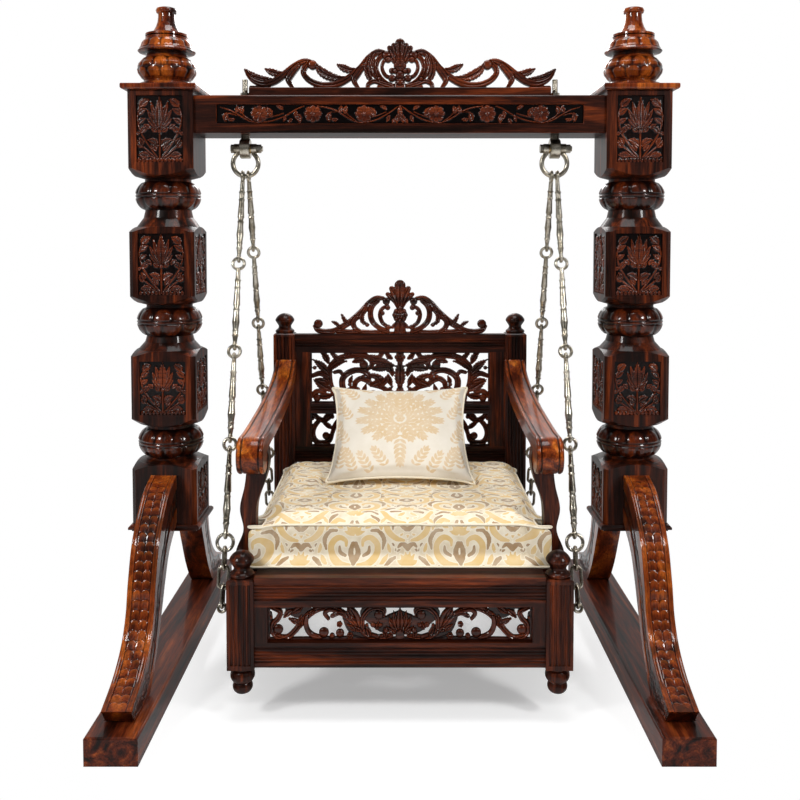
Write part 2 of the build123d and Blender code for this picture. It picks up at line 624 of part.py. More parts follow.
for side, hand in SIDES:
    middle = side * HANGER_X
    with BuildPart() as shackle:
        with BuildLine(upright(middle)) as bow:
            shank = Line((EAR_MIDDLE, ARM_END_Z), (ARC_X, ARC_Z))
            curve = ThreePointArc(shank @ 1, (0, BOW_BOTTOM), (-ARC_X, ARC_Z))
            Line(curve @ 1, (-EAR_MIDDLE, ARM_END_Z))
        with BuildSketch(Plane(origin=bow.wire() @ 0, z_dir=bow.wire() % 0)):
            Circle(SHACKLE_BAR_RADIUS)
        sweep()
        for face in (-1, 1):
            with BuildSketch(Plane(origin=(middle + face * EAR_INNER, 0, PIVOT_Z), z_dir=(face, 0, 0))):
                Circle(SHACKLE_EAR_RADIUS)
            extrude(amount=SHACKLE_EAR_WIDTH)
            with Locations((middle + face * EAR_MIDDLE, 0, ARM_END_Z)):
                Sphere(SHACKLE_BAR_RADIUS)
            with BuildSketch(Plane.XY.offset(ARM_END_Z)):
                with Locations((middle + face * EAR_MIDDLE, 0)):
                    Circle(SHACKLE_BAR_RADIUS)
            extrude(amount=SHACKLE_EAR_RADIUS / 2)
            with BuildSketch(Plane(origin=(middle + face * EAR_INNER, 0, PIVOT_Z), z_dir=(face, 0, 0))):
                Circle(PIVOT_RADIUS + FIT)
            extrude(amount=SHACKLE_EAR_WIDTH, mode=Mode.SUBTRACT)
    save(shackle, f"shackle_{hand}")

# ---------------------------------------------------------------- chains
# radius of a chain rod at shares of its length, from its upper end down
ROD_TURNING = ((0.0, 6.0), (0.14, 7.0), (0.155, 9.4), (0.175, 7.6), (0.245, 7.6), (0.26, 9.4), (0.28, 7.6),
               (0.48, 9.8), (0.5, 9.8), (0.515, 7.8), (0.545, 7.8), (0.56, 9.6), (0.58, 8.2), (0.66, 9.2),
               (0.73, 10.6), (0.8, 8.6), (0.83, 7.8), (0.845, 9.0), (0.86, 7.8), (0.9, 7.8), (0.915, 9.4),
               (0.93, 7.6), (1.0, 5.5))


# the bow's centre line where a top eye hangs on it, and the distance between the two bars there
BOW_RISE = sqrt(SHACKLE_BOW_RADIUS**2 - CHAIN_EYE_PITCH**2)
HANG_Z = PIVOT_Z - SHACKLE_BOW_DROP - BOW_RISE
HANG_GAP = (SHACKLE_BAR_RADIUS + CHAIN_BAR_RADIUS) * SHACKLE_BOW_RADIUS / BOW_RISE + SOFT_GAP


def chain_frame(side, end):
    """The plane at a chain's foot, its normal along the chain, and the length to the shackle's bow."""
    post_x = FRONT_X if end < 0 else BACK_X
    reach = SEAT_POST_HALF + SEAT_EYE_STANDOFF + SEAT_EYE_RADIUS + SEAT_EYE_BAR
    foot = Vector(side * (post_x + reach), end * SEAT_POST_Y, SEAT_EYE_HEIGHT)
    # the front chain's top eye sits on the outer side of the bow, the rear chain's on the inner side
    head = Vector(side * (HANGER_X - end * CHAIN_EYE_PITCH), 0, HANG_Z)
    run = head - foot
    return Plane(origin=foot, x_dir=(1, 0, 0), z_dir=run.normalized()), run.length


def rod_outline(low, high):
    """Draw half of a rod's shaft between two distances along its chain."""
    outline = [(radius, high - share * (high - low)) for share, radius in ROD_TURNING]
    Polyline((0, high), *outline, (0, low), close=True)


EYE_DROP = 2 * CHAIN_BAR_RADIUS + SOFT_GAP  # between the centres of two linked bars
FACE_ON = (90, 0, 0)
EDGE_ON = (0, 90, 0)

for side, hand in SIDES:
    for end, place in ENDS:
        plane, length = chain_frame(side, end)
        seat_bar = SEAT_EYE_RADIUS - SEAT_EYE_BAR - CHAIN_BAR_RADIUS - SOFT_GAP
        link_length = LINK_PITCH + 2 * CHAIN_BAR_RADIUS
        step = link_length - EYE_DROP  # from one link's lower bar to the next link's
        link_count = FRONT_LINKS if end < 0 else REAR_LINKS
        last_ring = seat_bar + link_count * step + LAST_RING_RADIUS
        first_ring = length - (TOP_SPAN_FRONT if end < 0 else TOP_SPAN_REAR)
        pitch = (first_ring - last_ring) / (ROD_COUNT - 1)
        with BuildPart(plane) as chain_rods:
            for number in range(ROD_COUNT):
                # the lower eye hangs in the ring below, the upper eye or ring is hooked by what is above
                ring = last_ring + number * pitch
                ring_radius = LAST_RING_RADIUS if number == 0 else ROD_RING_RADIUS
                lower_eye = ring + ring_radius - EYE_DROP + ROD_EYE_RADIUS
                next_ring = ring + pitch
                if number == ROD_COUNT - 1:
                    upper_end = length + HANG_GAP - 2 * TOP_EYE_RADIUS
                elif number == ROD_COUNT - 2:
                    upper_end = next_ring - ROD_RING_RADIUS  # this rod and its ring are one forging
                else:
                    upper_end = next_ring - ROD_RING_RADIUS + EYE_DROP - 2 * ROD_EYE_RADIUS
                with Locations((0, 0, ring)):
                    Torus(ring_radius, CHAIN_BAR_RADIUS, rotation=FACE_ON)
                with Locations((0, 0, lower_eye)):
                    Torus(ROD_EYE_RADIUS, CHAIN_BAR_RADIUS, rotation=EDGE_ON)
                if number == ROD_COUNT - 1:
                    with Locations((0, 0, upper_end + TOP_EYE_RADIUS)):
                        Torus(TOP_EYE_RADIUS, CHAIN_BAR_RADIUS, rotation=EDGE_ON)
                elif number < ROD_COUNT - 2:
                    with Locations((0, 0, upper_end + ROD_EYE_RADIUS)):
                        Torus(ROD_EYE_RADIUS, CHAIN_BAR_RADIUS, rotation=EDGE_ON)
                with BuildSketch(Plane(origin=plane.origin, x_dir=plane.x_dir, z_dir=-plane.y_dir)):
                    with BuildLine():
                        rod_outline(lower_eye + ROD_EYE_RADIUS, upper_end)
                    make_face()
                revolve(axis=Axis(plane.origin, plane.z_dir))
        save(chain_rods, f"chain_rods_{place}_{hand}")
        with BuildPart(plane) as chain_links:
            for number in range(link_count):
                reach = link_length / 2
                centre = last_ring - LAST_RING_RADIUS + EYE_DROP - reach - number * step
                facing = Axis(plane.origin, plane.x_dir if number % 2 == 0 else plane.y_dir)
                across = plane.y_dir if number % 2 == 0 else plane.x_dir
                middle = plane.origin + plane.z_dir * centre
                link_plane = Plane(origin=middle, x_dir=across, z_dir=facing.direction)
                straight = reach - LINK_HALF_WIDTH
                with BuildLine(link_plane) as loop:
                    one = Line((LINK_HALF_WIDTH, -straight), (LINK_HALF_WIDTH, straight))
                    two = ThreePointArc(one @ 1, (0, reach), (-LINK_HALF_WIDTH, straight))
                    three = Line(two @ 1, (-LINK_HALF_WIDTH, -straight))
                    ThreePointArc(three @ 1, (0, -reach), one @ 0)
                with BuildSketch(Plane(origin=one @ 0, z_dir=one % 0)):
                    Circle(CHAIN_BAR_RADIUS)
                sweep(path=loop.wire())
        save(chain_links, f"chain_links_{place}_{hand}")

with BuildPart() as seat_eyes:
    for side, _ in SIDES:
        for end, _ in ENDS:
            plane, _ = chain_frame(side, end)
            post_x = FRONT_X if end < 0 else BACK_X
            with Locations(Plane(origin=plane.origin, x_dir=plane.x_dir, z_dir=-plane.y_dir)):
                Torus(SEAT_EYE_RADIUS, SEAT_EYE_BAR)
            start = (side * (post_x + SEAT_POST_HALF - SEAT_EYE_SHANK), end * SEAT_POST_Y, SEAT_EYE_HEIGHT)
            with BuildSketch(Plane(origin=start, z_dir=(side, 0, 0))):
                Circle(SEAT_EYE_BAR)
            extrude(amount=SEAT_EYE_SHANK + SEAT_EYE_STANDOFF + SEAT_EYE_BAR)
save(seat_eyes, "seat_eye_bolts")

# ---------------------------------------------------------------- seat posts
def fluted(half, pitch):
    """The centres of the flutes on the four faces of a square post, from the post's own centre."""
    centres = []
    for step in range(FLUTE_COUNT):
        along = (step - (FLUTE_COUNT - 1) / 2) * pitch
        centres += [(along, -half), (along, half), (-half, along), (half, along)]
    return centres


def seat_finial_profile(base):
    """Draw half of a seat post's mushroom finial."""
    # a rolled shoulder, a waist, and a cap with a steep underside and a low dome, flat at its very top
    Line((0, base - BURIED), (29, base - BURIED))
    Line((29, base - BURIED), (29, base + 1))
    ThreePointArc((29, base + 1), (32, base + 6), (29, base + 11))
    Line((29, base + 11), (23, base + 16))
    ThreePointArc((23, base + 16), (21, base + 22), (23, base + 28))
    Line((23, base + 28), (31, base + 40))
    ThreePointArc((31, base + 40), (32, base + 45), (30, base + 50))
    ThreePointArc((30, base + 50), (20, base + 61), (5, base + SEAT_FINIAL_HEIGHT))
    Line((5, base + SEAT_FINIAL_HEIGHT), (0, base + SEAT_FINIAL_HEIGHT))
    Line((0, base + SEAT_FINIAL_HEIGHT), (0, base - BURIED))


def seat_foot_profile():
    """Draw half of a seat post's turned foot."""
    top = SEAT_POST_BOTTOM
    Line((0, top + BURIED), (24, top + BURIED))
    Line((24, top + BURIED), (24, top - 8))
    ThreePointArc((24, top - 8), (32, top - 26), (22, top - 42))
    ThreePointArc((22, top - 42), (26, top - 56), (17, top - FOOT_HEIGHT))
    Line((17, top - FOOT_HEIGHT), (0, top - FOOT_HEIGHT))
    Line((0, top - FOOT_HEIGHT), (0, top + BURIED))


for side, hand in SIDES:
    for end, place in ENDS:
        post_x = side * (FRONT_X if end < 0 else BACK_X)
        post_y = end * SEAT_POST_Y
        post_top = FRONT_POST_TOP if end < 0 else BACK_POST_TOP
        with BuildPart() as seat_post:
            with BuildSketch(Plane.XY.offset(SEAT_POST_BOTTOM)) as section:
                with Locations((post_x, post_y)):
                    Rectangle(SEAT_POST_WIDTH, SEAT_POST_WIDTH)
            extrude(amount=post_top - SEAT_POST_BOTTOM)
            chamfer(seat_post.edges().group_by(Axis.Z)[-1], 4)
            # flutes stop short of both ends and of the rails' joints behind the faces
            flute_length = post_top - SEAT_POST_BOTTOM - 2 * REBATE
            with BuildSketch(Plane.XY.offset(SEAT_POST_BOTTOM + REBATE)):
                with Locations((post_x, post_y)):
                    with Locations(*fluted(SEAT_POST_HALF, FLUTE_PITCH)):
                        Circle(FLUTE_RADIUS)
            extrude(amount=flute_length, mode=Mode.SUBTRACT)
            with BuildSketch(upright(post_x, post_y)):
                with BuildLine():
                    seat_finial_profile(post_top)
                make_face()
            revolve(axis=Axis((post_x, post_y, 0), (0, 0, 1)))
            with BuildSketch(upright(post_x, post_y)):
                with BuildLine():
                    seat_foot_profile()
                make_face()
            revolve(axis=Axis((post_x, post_y, 0), (0, 0, 1)))
            outer_face = post_x + side * SEAT_POST_HALF
            with BuildSketch(Plane(origin=(outer_face, post_y, SEAT_EYE_HEIGHT), z_dir=(side, 0, 0))):
                Circle(SEAT_EYE_BAR + FIT)
            extrude(amount=-(SEAT_EYE_SHANK + 1), mode=Mode.SUBTRACT)
        save(seat_post, f"seat_post_{place}_{hand}")

# ---------------------------------------------------------------- deck and seat rails
SIDE_OUTER_FRONT = FRONT_X + SEAT_POST_HALF - FRAME_SETBACK
SIDE_OUTER_BACK = BACK_X + SEAT_POST_HALF - FRAME_SETBACK
SIDE_INNER_FRONT = SIDE_OUTER_FRONT - RAIL_THICKNESS
SIDE_INNER_BACK = SIDE_OUTER_BACK - RAIL_THICKNESS
APRON_BACK_Y = APRON_Y + RAIL_THICKNESS
REAR_RAIL_INNER = -APRON_BACK_Y

with BuildPart() as seat_deck:
    with BuildSketch(Plane.XY.offset(SEAT_TOP - DECK_THICKNESS)):
        with BuildLine():
            Polyline(
                (0, APRON_BACK_Y - REBATE),
                (APRON_HALF, APRON_BACK_Y - REBATE),
                (APRON_HALF, -POST_REAR_FACE),
                (SIDE_INNER_FRONT + REBATE, -POST_REAR_FACE),
                (SIDE_INNER_BACK + REBATE, POST_REAR_FACE),
                (BACK_HALF, POST_REAR_FACE),
                (BACK_HALF, REAR_RAIL_INNER + REBATE),
                (0, REAR_RAIL_INNER + REBATE),
                close=True,
            )
        make_face()
        mirror(about=Plane.YZ)
    extrude(amount=DECK_THICKNESS)
save(seat_deck, "seat_deck")

for side, hand in SIDES:
    with BuildPart() as side_rail:
        with BuildSketch(Plane.XY.offset(SEAT_TOP - SIDE_RAIL_HEIGHT)):
            with BuildLine():
                Polyline(
                    (side * SIDE_OUTER_FRONT, -POST_REAR_FACE),
                    (side * SIDE_OUTER_BACK, POST_REAR_FACE),
                    (side * SIDE_INNER_BACK, POST_REAR_FACE),
                    (side * SIDE_INNER_FRONT, -POST_REAR_FACE),
                    close=True,
                )
            make_face()
        extrude(amount=SIDE_RAIL_HEIGHT)
        add(seat_deck.part, mode=Mode.SUBTRACT)
    save(side_rail, f"side_rail_{hand}")


def reeded_rail(front, thickness, bottom, height, reeds):
    """Draw a rail's section, with a band of small reeds cut in its front face."""
    with Locations((front + thickness / 2, bottom + height / 2)):
        Rectangle(thickness, height)
    first = bottom + height / 2 - (reeds - 1) / 2 * REED_PITCH
    for number in range(reeds):
        with Locations((front, first + number * REED_PITCH)):
            Circle(REED_RADIUS, mode=Mode.SUBTRACT)


APRON_BOTTOM = SEAT_TOP - APRON_TOP_RAIL - APRON_OPENING - APRON_BOTTOM_RAIL
APRON_OPENING_TOP = SEAT_TOP - APRON_TOP_RAIL
APRON_OPENING_BOTTOM = APRON_OPENING_TOP - APRON_OPENING

with BuildPart() as apron_top_rail:
    with BuildSketch(side_plane(-APRON_HALF)):
        reeded_rail(APRON_Y, RAIL_THICKNESS, APRON_OPENING_TOP, APRON_TOP_RAIL, 5)
    extrude(amount=2 * APRON_HALF)
    add(seat_deck.part, mode=Mode.SUBTRACT)
save(apron_top_rail, "apron_top_rail")

with BuildPart() as apron_bottom_rail:
    with BuildSketch(side_plane(-APRON_HALF)):
        reeded_rail(APRON_Y, RAIL_THICKNESS, APRON_BOTTOM, APRON_BOTTOM_RAIL, 5)
    extrude(amount=2 * APRON_HALF)
save(apron_bottom_rail, "apron_bottom_rail")

with BuildPart() as apron_stiles:
    stile_x = APRON_HALF - STILE_WIDTH / 2
    with BuildSketch(upright(0, APRON_BACK_Y)):
        with Locations((-stile_x, APRON_OPENING_BOTTOM + APRON_OPENING / 2),
                       (stile_x, APRON_OPENING_BOTTOM + APRON_OPENING / 2)):
            Rectangle(STILE_WIDTH, APRON_OPENING)
    extrude(amount=RAIL_THICKNESS)
save(apron_stiles, "apron_stiles")

with BuildPart() as rear_rail:
    rail_middle = SEAT_TOP - SIDE_RAIL_HEIGHT / 2
    with BuildSketch(upright(0, REAR_RAIL_INNER + RAIL_THICKNESS)):
        with Locations((0, rail_middle)):
            Rectangle(2 * BACK_HALF, SIDE_RAIL_HEIGHT)
    extrude(amount=RAIL_THICKNESS)
    add(seat_deck.part, mode=Mode.SUBTRACT)
save(rear_rail, "rear_rail")

# Strokes of a pierced panel's left half: shares of its half width and of its height, and width in mm
SCROLL_PANEL = (
    ((-0.98, 0.86, 10), (-0.86, 0.62, 13), (-0.97, 0.34, 13), (-0.84, 0.06, 12), (-0.66, 0.2, 13),
     (-0.5, 0.58, 15), (-0.34, 0.92, 13), (-0.2, 0.8, 12), (-0.18, 0.56, 9)),
    ((-0.66, 0.2, 13), (-0.46, 0.04, 12), (-0.3, 0.16, 13), (-0.16, 0.5, 13), (0.0, 0.9, 10)),
    ((-0.97, 1.0, 10), (-0.74, 0.8, 14), (-0.6, 0.92, 10), (-0.5, 1.0, 8)),
    ((-0.46, 0.04, 12), (-0.36, 0.34, 12), (-0.3, 0.46, 10)),
    ((-0.2, 0.8, 10), (-0.08, 0.98, 12), (0.0, 1.0, 10)),
    ((-0.16, 0.5, 12), (-0.1, 0.2, 12), (0.0, 0.06, 12)),
)


def panel_strokes(half, bottom, height):
    """The strokes of a pierced panel in millimetres."""
    return [[(x * half, bottom + y * height, width) for x, y, width in stroke] for stroke in SCROLL_PANEL]


PANELS = (
    ("apron_carved_panel", APRON_OPENING_HALF, APRON_OPENING_BOTTOM, APRON_OPENING,
     APRON_Y + (RAIL_THICKNESS + PANEL_THICKNESS) / 2),
    ("back_panel_upper", BACK_OPENING_HALF, BACK_TOP_BOTTOM - BACK_UPPER_OPENING, BACK_UPPER_OPENING,
     BACK_Y + PANEL_THICKNESS / 2),
    ("back_panel_lower", BACK_OPENING_HALF, BACK_MID_BOTTOM - BACK_LOWER_OPENING, BACK_LOWER_OPENING,
     BACK_Y + PANEL_THICKNESS / 2),
)
PANEL_RIM = 5

for name, half, bottom, height, rear in PANELS:
    with BuildPart() as pierced_panel:
        with BuildSketch(upright(0, rear)):
            with Locations((0, bottom + height / 2)):
                Rectangle(2 * half, height)
                Rectangle(2 * (half - PANEL_RIM), height - 2 * PANEL_RIM, mode=Mode.SUBTRACT)
            for stroke in panel_strokes(half, bottom, height):
                with BuildLine():
                    scroll(stroke)
                make_face()
            mirror(about=Plane.YZ)
            with Locations((0, bottom + height / 2)):
                Ellipse(height * 0.16, height * 0.36)
                Rectangle(2 * half, height, mode=Mode.INTERSECT)
        extrude(amount=PANEL_THICKNESS)
    save(pierced_panel, name)

# ---------------------------------------------------------------- back frame
BACK_FRONT_Y = BACK_Y - BACK_THICKNESS / 2

with BuildPart() as back_bottom_rail:
    with BuildSketch(side_plane(-BACK_HALF)):
        reeded_rail(BACK_FRONT_Y, BACK_THICKNESS, BACK_BOTTOM, BACK_BOTTOM_RAIL, 3)
    extrude(amount=2 * BACK_HALF)
save(back_bottom_rail, "back_bottom_rail")

with BuildPart() as back_mid_rail:
    with BuildSketch(side_plane(-BACK_OPENING_HALF)):
        reeded_rail(BACK_FRONT_Y, BACK_THICKNESS, BACK_MID_BOTTOM, BACK_MID_RAIL, 2)
    extrude(amount=2 * BACK_OPENING_HALF)
save(back_mid_rail, "back_mid_rail")

with BuildPart() as back_top_rail:
    with BuildSketch(side_plane(-BACK_HALF)):
        reeded_rail(BACK_FRONT_Y, BACK_THICKNESS, BACK_TOP_BOTTOM, BACK_TOP_RAIL, 3)
    extrude(amount=2 * BACK_HALF)
save(back_top_rail, "back_top_rail")

with BuildPart() as back_stiles:
    stile_x = BACK_HALF - BACK_STILE_WIDTH / 2
    stile_bottom = BACK_BOTTOM + BACK_BOTTOM_RAIL
    stile_height = BACK_TOP_BOTTOM - stile_bottom
    stile_middle = stile_bottom + stile_height / 2
    with BuildSketch(upright(0, BACK_Y + BACK_THICKNESS / 2)):
        with Locations((-stile_x, stile_middle), (stile_x, stile_middle)):
            Rectangle(BACK_STILE_WIDTH, stile_height)
    extrude(amount=BACK_THICKNESS)
save(back_stiles, "back_stiles")

# Centre lines of the left half of the back's crest: across, height above the top rail, width
BACK_CREST_WAVE = ((-284, 34, 10), (-263, 18, 16), (-232, 13, 18), (-200, 22, 20), (-165, 43, 24),
                   (-130, 74, 26), (-104, 104, 24), (-82, 122, 20), (-56, 120, 14), (-44, 110, 10))
BACK_CREST_ARCH = ((-58, 112, 14), (-84, 96, 18), (-94, 68, 20), (-86, 40, 20), (-66, 20, 18), (-34, 4, 14))
BACK_CREST_BRANCH = ((-150, 52, 20), (-158, 32, 18), (-148, 12, 15), (-122, 2, 12), (-90, 3, 12))
BACK_CREST_RING = ((-44, 90, 9), (-62, 78, 14), (-66, 56, 14), (-56, 36, 14), (-32, 24, 12))

with BuildPart() as back_crest:
    with BuildSketch(upright(0, BACK_Y + BACK_CREST_THICKNESS / 2)):
        for stroke in (BACK_CREST_WAVE, BACK_CREST_ARCH, BACK_CREST_BRANCH, BACK_CREST_RING):
            with BuildLine():
                scroll(stroke, BACK_TOP)
            make_face()
        lobe(-168, BACK_TOP + 48, 50, 22, 158)  # leaf that turns back on the wave
        with Locations((-277, BACK_TOP + 34), (-47, BACK_TOP + 108), (-40, BACK_TOP + 28)):
            Circle(14)
        with Locations((-276, BACK_TOP + 5)):
            Rectangle(72, 12)
        mirror(about=Plane.YZ)
        for angle, length in ((90, 110), (68, 100), (112, 100), (46, 86), (134, 86)):
            lobe(0, BACK_TOP + 78, length, 34, angle)
        with Locations((0, BACK_TOP + 60)):
            Circle(30)
        with Locations((0, BACK_TOP + 18)):
            Rectangle(42, 40)
        with Locations((0, BACK_TOP - 15)):
            Rectangle(2 * BACK_HALF, 30, mode=Mode.SUBTRACT)
    extrude(amount=BACK_CREST_THICKNESS)
save(back_crest, "back_crest")

# ---------------------------------------------------------------- arms and their supports
SCROLL_Y = -ARM_SCROLL_REACH
SCROLL_TOP = ARM_SCROLL_HEIGHT + ARM_SCROLL_RADIUS
TUCK_REACH = 0.6 * ARM_SCROLL_RADIUS  # where the roll's underside turns back into the arm
TUCK_Z = ARM_SCROLL_HEIGHT - 0.88 * ARM_SCROLL_RADIUS
SUPPORT_TOP = ARM_SCROLL_HEIGHT + 14  # inside the arm, which is cut away from it
SUPPORT_BACK = SUPPORT_FRONT - SUPPORT_DEPTH
# the arm's top, as shares of the way from its scroll to the rear post and of its fall from there
ARM_FALL = ((0.897, 0.364), (0.727, 0.636), (0.504, 0.813), (0.269, 0.935), (0.097, 1.0))
# the supports' sides, out from the front post's middle plane in widths, at shares of their height
SUPPORT_OUTER = ((0.46, 0), (0.47, 0.156), (0.13, 0.306), (0.3, 0.453), (0.08, 0.647), (-0.02, 0.75),
                 (-0.04, 1))
SUPPORT_INNER = ((-1.12, 1), (-1.11, 0.75), (-0.88, 0.647), (-0.72, 0.584), (-0.6, 0.516), (-0.53, 0.375),
                 (-0.5, 0.178), (-0.52, 0))


def arm_point(along, fall, down=0.0):
    """A point of the arm's outline, from its shares along and down, and a distance under its top."""
    top = ARM_TOP_AT_POST - fall * (ARM_TOP_AT_POST - SCROLL_TOP)
    return (SCROLL_Y + along * (POST_REAR_FACE - SCROLL_Y), top - down)


def support_point(side, out, rise):
    """A point of a support's outline, from its widths outwards and its share upwards."""
    return (side * (FRONT_X + out * SUPPORT_WIDTH), SEAT_TOP + rise * (SUPPORT_TOP - SEAT_TOP))


for side, hand in SIDES:
    with BuildPart() as arm:
        with BuildSketch(side_plane(side * ARM_X - ARM_WIDTH / 2)):
            with BuildLine():
                upper = Spline(
                    (POST_REAR_FACE, ARM_TOP_AT_POST),
                    *[arm_point(along, fall) for along, fall in ARM_FALL],
                    (SCROLL_Y, SCROLL_TOP),
                    tangents=((-1, -0.6), (-1, 0)),
                )
                roll = ThreePointArc(
                    upper @ 1,
                    (SCROLL_Y - ARM_SCROLL_RADIUS, ARM_SCROLL_HEIGHT),
                    (SCROLL_Y, ARM_SCROLL_HEIGHT - ARM_SCROLL_RADIUS),
                )
                tuck = Line(roll @ 1, (SCROLL_Y + TUCK_REACH, TUCK_Z))
                lower = Spline(
                    tuck @ 1,
                    *[arm_point(along, fall, ARM_THICKNESS) for along, fall in reversed(ARM_FALL)],
                    (POST_REAR_FACE, ARM_TOP_AT_POST - ARM_THICKNESS),
                )
                Line(lower @ 1, upper @ 0)
            make_face()
        extrude(amount=ARM_WIDTH)
    save(arm, f"arm_{hand}")
    with BuildPart() as arm_support:
        with BuildSketch(upright(0, -SUPPORT_BACK)):
            with BuildLine():
                outer = Spline(*[support_point(side, out, rise) for out, rise in SUPPORT_OUTER])
                inner = Spline(*[support_point(side, out, rise) for out, rise in SUPPORT_INNER])
                Line(outer @ 1, inner @ 0)
                Line(inner @ 1, outer @ 0)
            make_face()
        extrude(amount=SUPPORT_DEPTH)
        add(arm.part, mode=Mode.SUBTRACT)
    save(arm_support, f"arm_support_{hand}")

# ---------------------------------------------------------------- cushion and pillow
with BuildPart() as seat_cushion:
    with BuildSketch(Plane.XY.offset(CUSHION_BOTTOM)):
        with Locations((0, (CUSHION_BACK - CUSHION_FRONT) / 2)):
            Rectangle(CUSHION_WIDTH, CUSHION_FRONT + CUSHION_BACK)
    extrude(amount=CUSHION_HEIGHT)
    fillet(seat_cushion.edges().filter_by(Axis.Z), CUSHION_EDGE)
    fillet(seat_cushion.edges().group_by(Axis.Z)[-1], CUSHION_EDGE)
    # the cover is cut and sewn round the arm supports, so that the cushion lifts out between them
    with BuildSketch(Plane.XY.offset(CUSHION_BOTTOM)):
        for side, _ in SIDES:
            with Locations((side * CUSHION_WIDTH / 2, -(SUPPORT_FRONT + SUPPORT_BACK) / 2)):
                Rectangle(2 * NOTCH_DEPTH, SUPPORT_DEPTH + 2 * NOTCH_GAP)
    extrude(amount=CUSHION_HEIGHT, mode=Mode.SUBTRACT)
save(seat_cushion, "seat_cushion")

# the pillow stands on the cushion and leans on the back's pierced panel
lean_sin = sin(radians(PILLOW_LEAN))
lean_cos = cos(radians(PILLOW_LEAN))
pillow_core = PILLOW_THICKNESS / 2 - PILLOW_EDGE
pillow_lift = PILLOW_EDGE * (1 - lean_cos) + pillow_core * lean_sin + SOFT_GAP
panel_front = BACK_Y - PANEL_THICKNESS / 2
pillow_back = panel_front - SOFT_GAP - PILLOW_EDGE - pillow_core * lean_cos
pillow_foot = pillow_back - (PILLOW_LENGTH - PILLOW_EDGE) * lean_sin
pillow_base = Plane(
    origin=(0, pillow_foot, CUSHION_BOTTOM + CUSHION_HEIGHT + pillow_lift),
    x_dir=(1, 0, 0),
    z_dir=(0, lean_sin, lean_cos),
)
with BuildPart() as throw_pillow:
    with BuildSketch(pillow_base):
        Rectangle(PILLOW_WIDTH, PILLOW_THICKNESS)
    extrude(amount=PILLOW_LENGTH)
    fillet(throw_pillow.edges(), PILLOW_EDGE)
save(throw_pillow, "throw_pillow")
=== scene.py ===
"""Looks of a carved single-seat jhoola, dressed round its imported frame.

Blender works in metres and the carving tools in millimetres, both in the frame's own axes: +Z up, +Y back.
"""

import logging
import math
from dataclasses import dataclass, field, replace
from enum import Enum
from typing import Callable, Iterator, Sequence

import bpy
import numpy as np
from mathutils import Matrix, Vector
from mathutils.kdtree import KDTree


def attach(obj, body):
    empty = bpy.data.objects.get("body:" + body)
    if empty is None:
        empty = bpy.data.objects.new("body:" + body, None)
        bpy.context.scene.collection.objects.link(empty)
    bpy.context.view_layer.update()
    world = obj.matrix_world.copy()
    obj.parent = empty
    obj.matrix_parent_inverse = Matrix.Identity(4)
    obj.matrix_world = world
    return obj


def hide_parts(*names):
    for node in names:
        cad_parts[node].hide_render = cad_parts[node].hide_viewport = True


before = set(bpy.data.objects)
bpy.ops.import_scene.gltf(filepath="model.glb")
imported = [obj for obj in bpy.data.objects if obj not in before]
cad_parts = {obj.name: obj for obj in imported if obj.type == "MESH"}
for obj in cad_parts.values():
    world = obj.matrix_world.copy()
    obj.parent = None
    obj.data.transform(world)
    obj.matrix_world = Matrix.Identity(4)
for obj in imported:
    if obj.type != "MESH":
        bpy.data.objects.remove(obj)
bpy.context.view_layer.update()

LOG = logging.getLogger("jhoola")
MM = 0.001
SEED = 7
SHADE_AND_STAIN = "shade_and_stain"  # mesh attribute: 1 where a hollow is darkened by staining and painted shade, 0 on a plain surface, -1 on a crest lightened by wear and a painted highlight
GOLD = "gold"  # mesh attribute: millimetres inside a gold leaf of a cloth's pattern
TAUPE = "taupe"  # mesh attribute: millimetres inside a taupe leaf of a cloth's pattern

Array = np.ndarray
Pair = tuple[float, float]
Triple = tuple[float, float, float]
Colour = tuple[float, float, float, float]
Mesh = tuple[Array, list, Array]  # points in metres, faces, and how much each point is darkened by staining and painted shade
Material = bpy.types.Material
Piece = bpy.types.Object


class Body(Enum):
    """The moving groups of the swing."""

    STAND = "stand"
    SWING = "swing"
    CUSHION = "cushion"
    PILLOW = "pillow"


class Grain(Enum):
    """The way the wood's grain runs, as how much each axis is squeezed."""

    ALONG_X = (0.07, 1.0, 1.0)
    ALONG_Y = (1.0, 0.07, 1.0)
    ALONG_Z = (1.0, 1.0, 0.07)


class Section(Enum):
    """The cross-section that a gouge leaves on a carved ribbon."""

    ROUND = "round"
    GROOVED = "grooved"
    LEAF = "leaf"
    FLAT = "flat"


ROUND, GROOVED, LEAF, FLAT = Section


# ---------------- materials
def linear(code: str) -> Colour:
    """Turn an sRGB hex colour into linear red, green, blue and an alpha of one."""
    parts = [int(code[i:i + 2], 16) / 255 for i in (1, 3, 5)]
    return (*[p / 12.92 if p <= 0.04045 else ((p + 0.055) / 1.055) ** 2.4 for p in parts], 1.0)


def add(tree: bpy.types.NodeTree, kind: str, inputs: dict | None = None,
        stops: Sequence[tuple[float, str]] = (), **settings: object) -> bpy.types.Node:
    """Add a node with its settings and links.

    Args:
        tree: The tree that gets the node.
        kind: The node's type, without its ShaderNode prefix.
        inputs: What each input socket is set to or linked from, where a node stands for its first output.
        stops: A colour ramp's places and hex colours.
        settings: The node's own properties.

    Returns:
        The new node.
    """
    made = tree.nodes.new("ShaderNode" + kind)
    for name, value in settings.items():
        setattr(made, name, value)
    for key, value in (inputs or {}).items():
        if isinstance(value, bpy.types.Node):
            value = value.outputs[0]
        if isinstance(value, bpy.types.NodeSocket):
            tree.links.new(value, made.inputs[key])
        else:
            made.inputs[key].default_value = value
    for number, (place, code) in enumerate(stops):
        if number < 2:
            stop = made.color_ramp.elements[number]
            stop.position = place
        else:
            stop = made.color_ramp.elements.new(place)
        stop.color = linear(code)
    return made


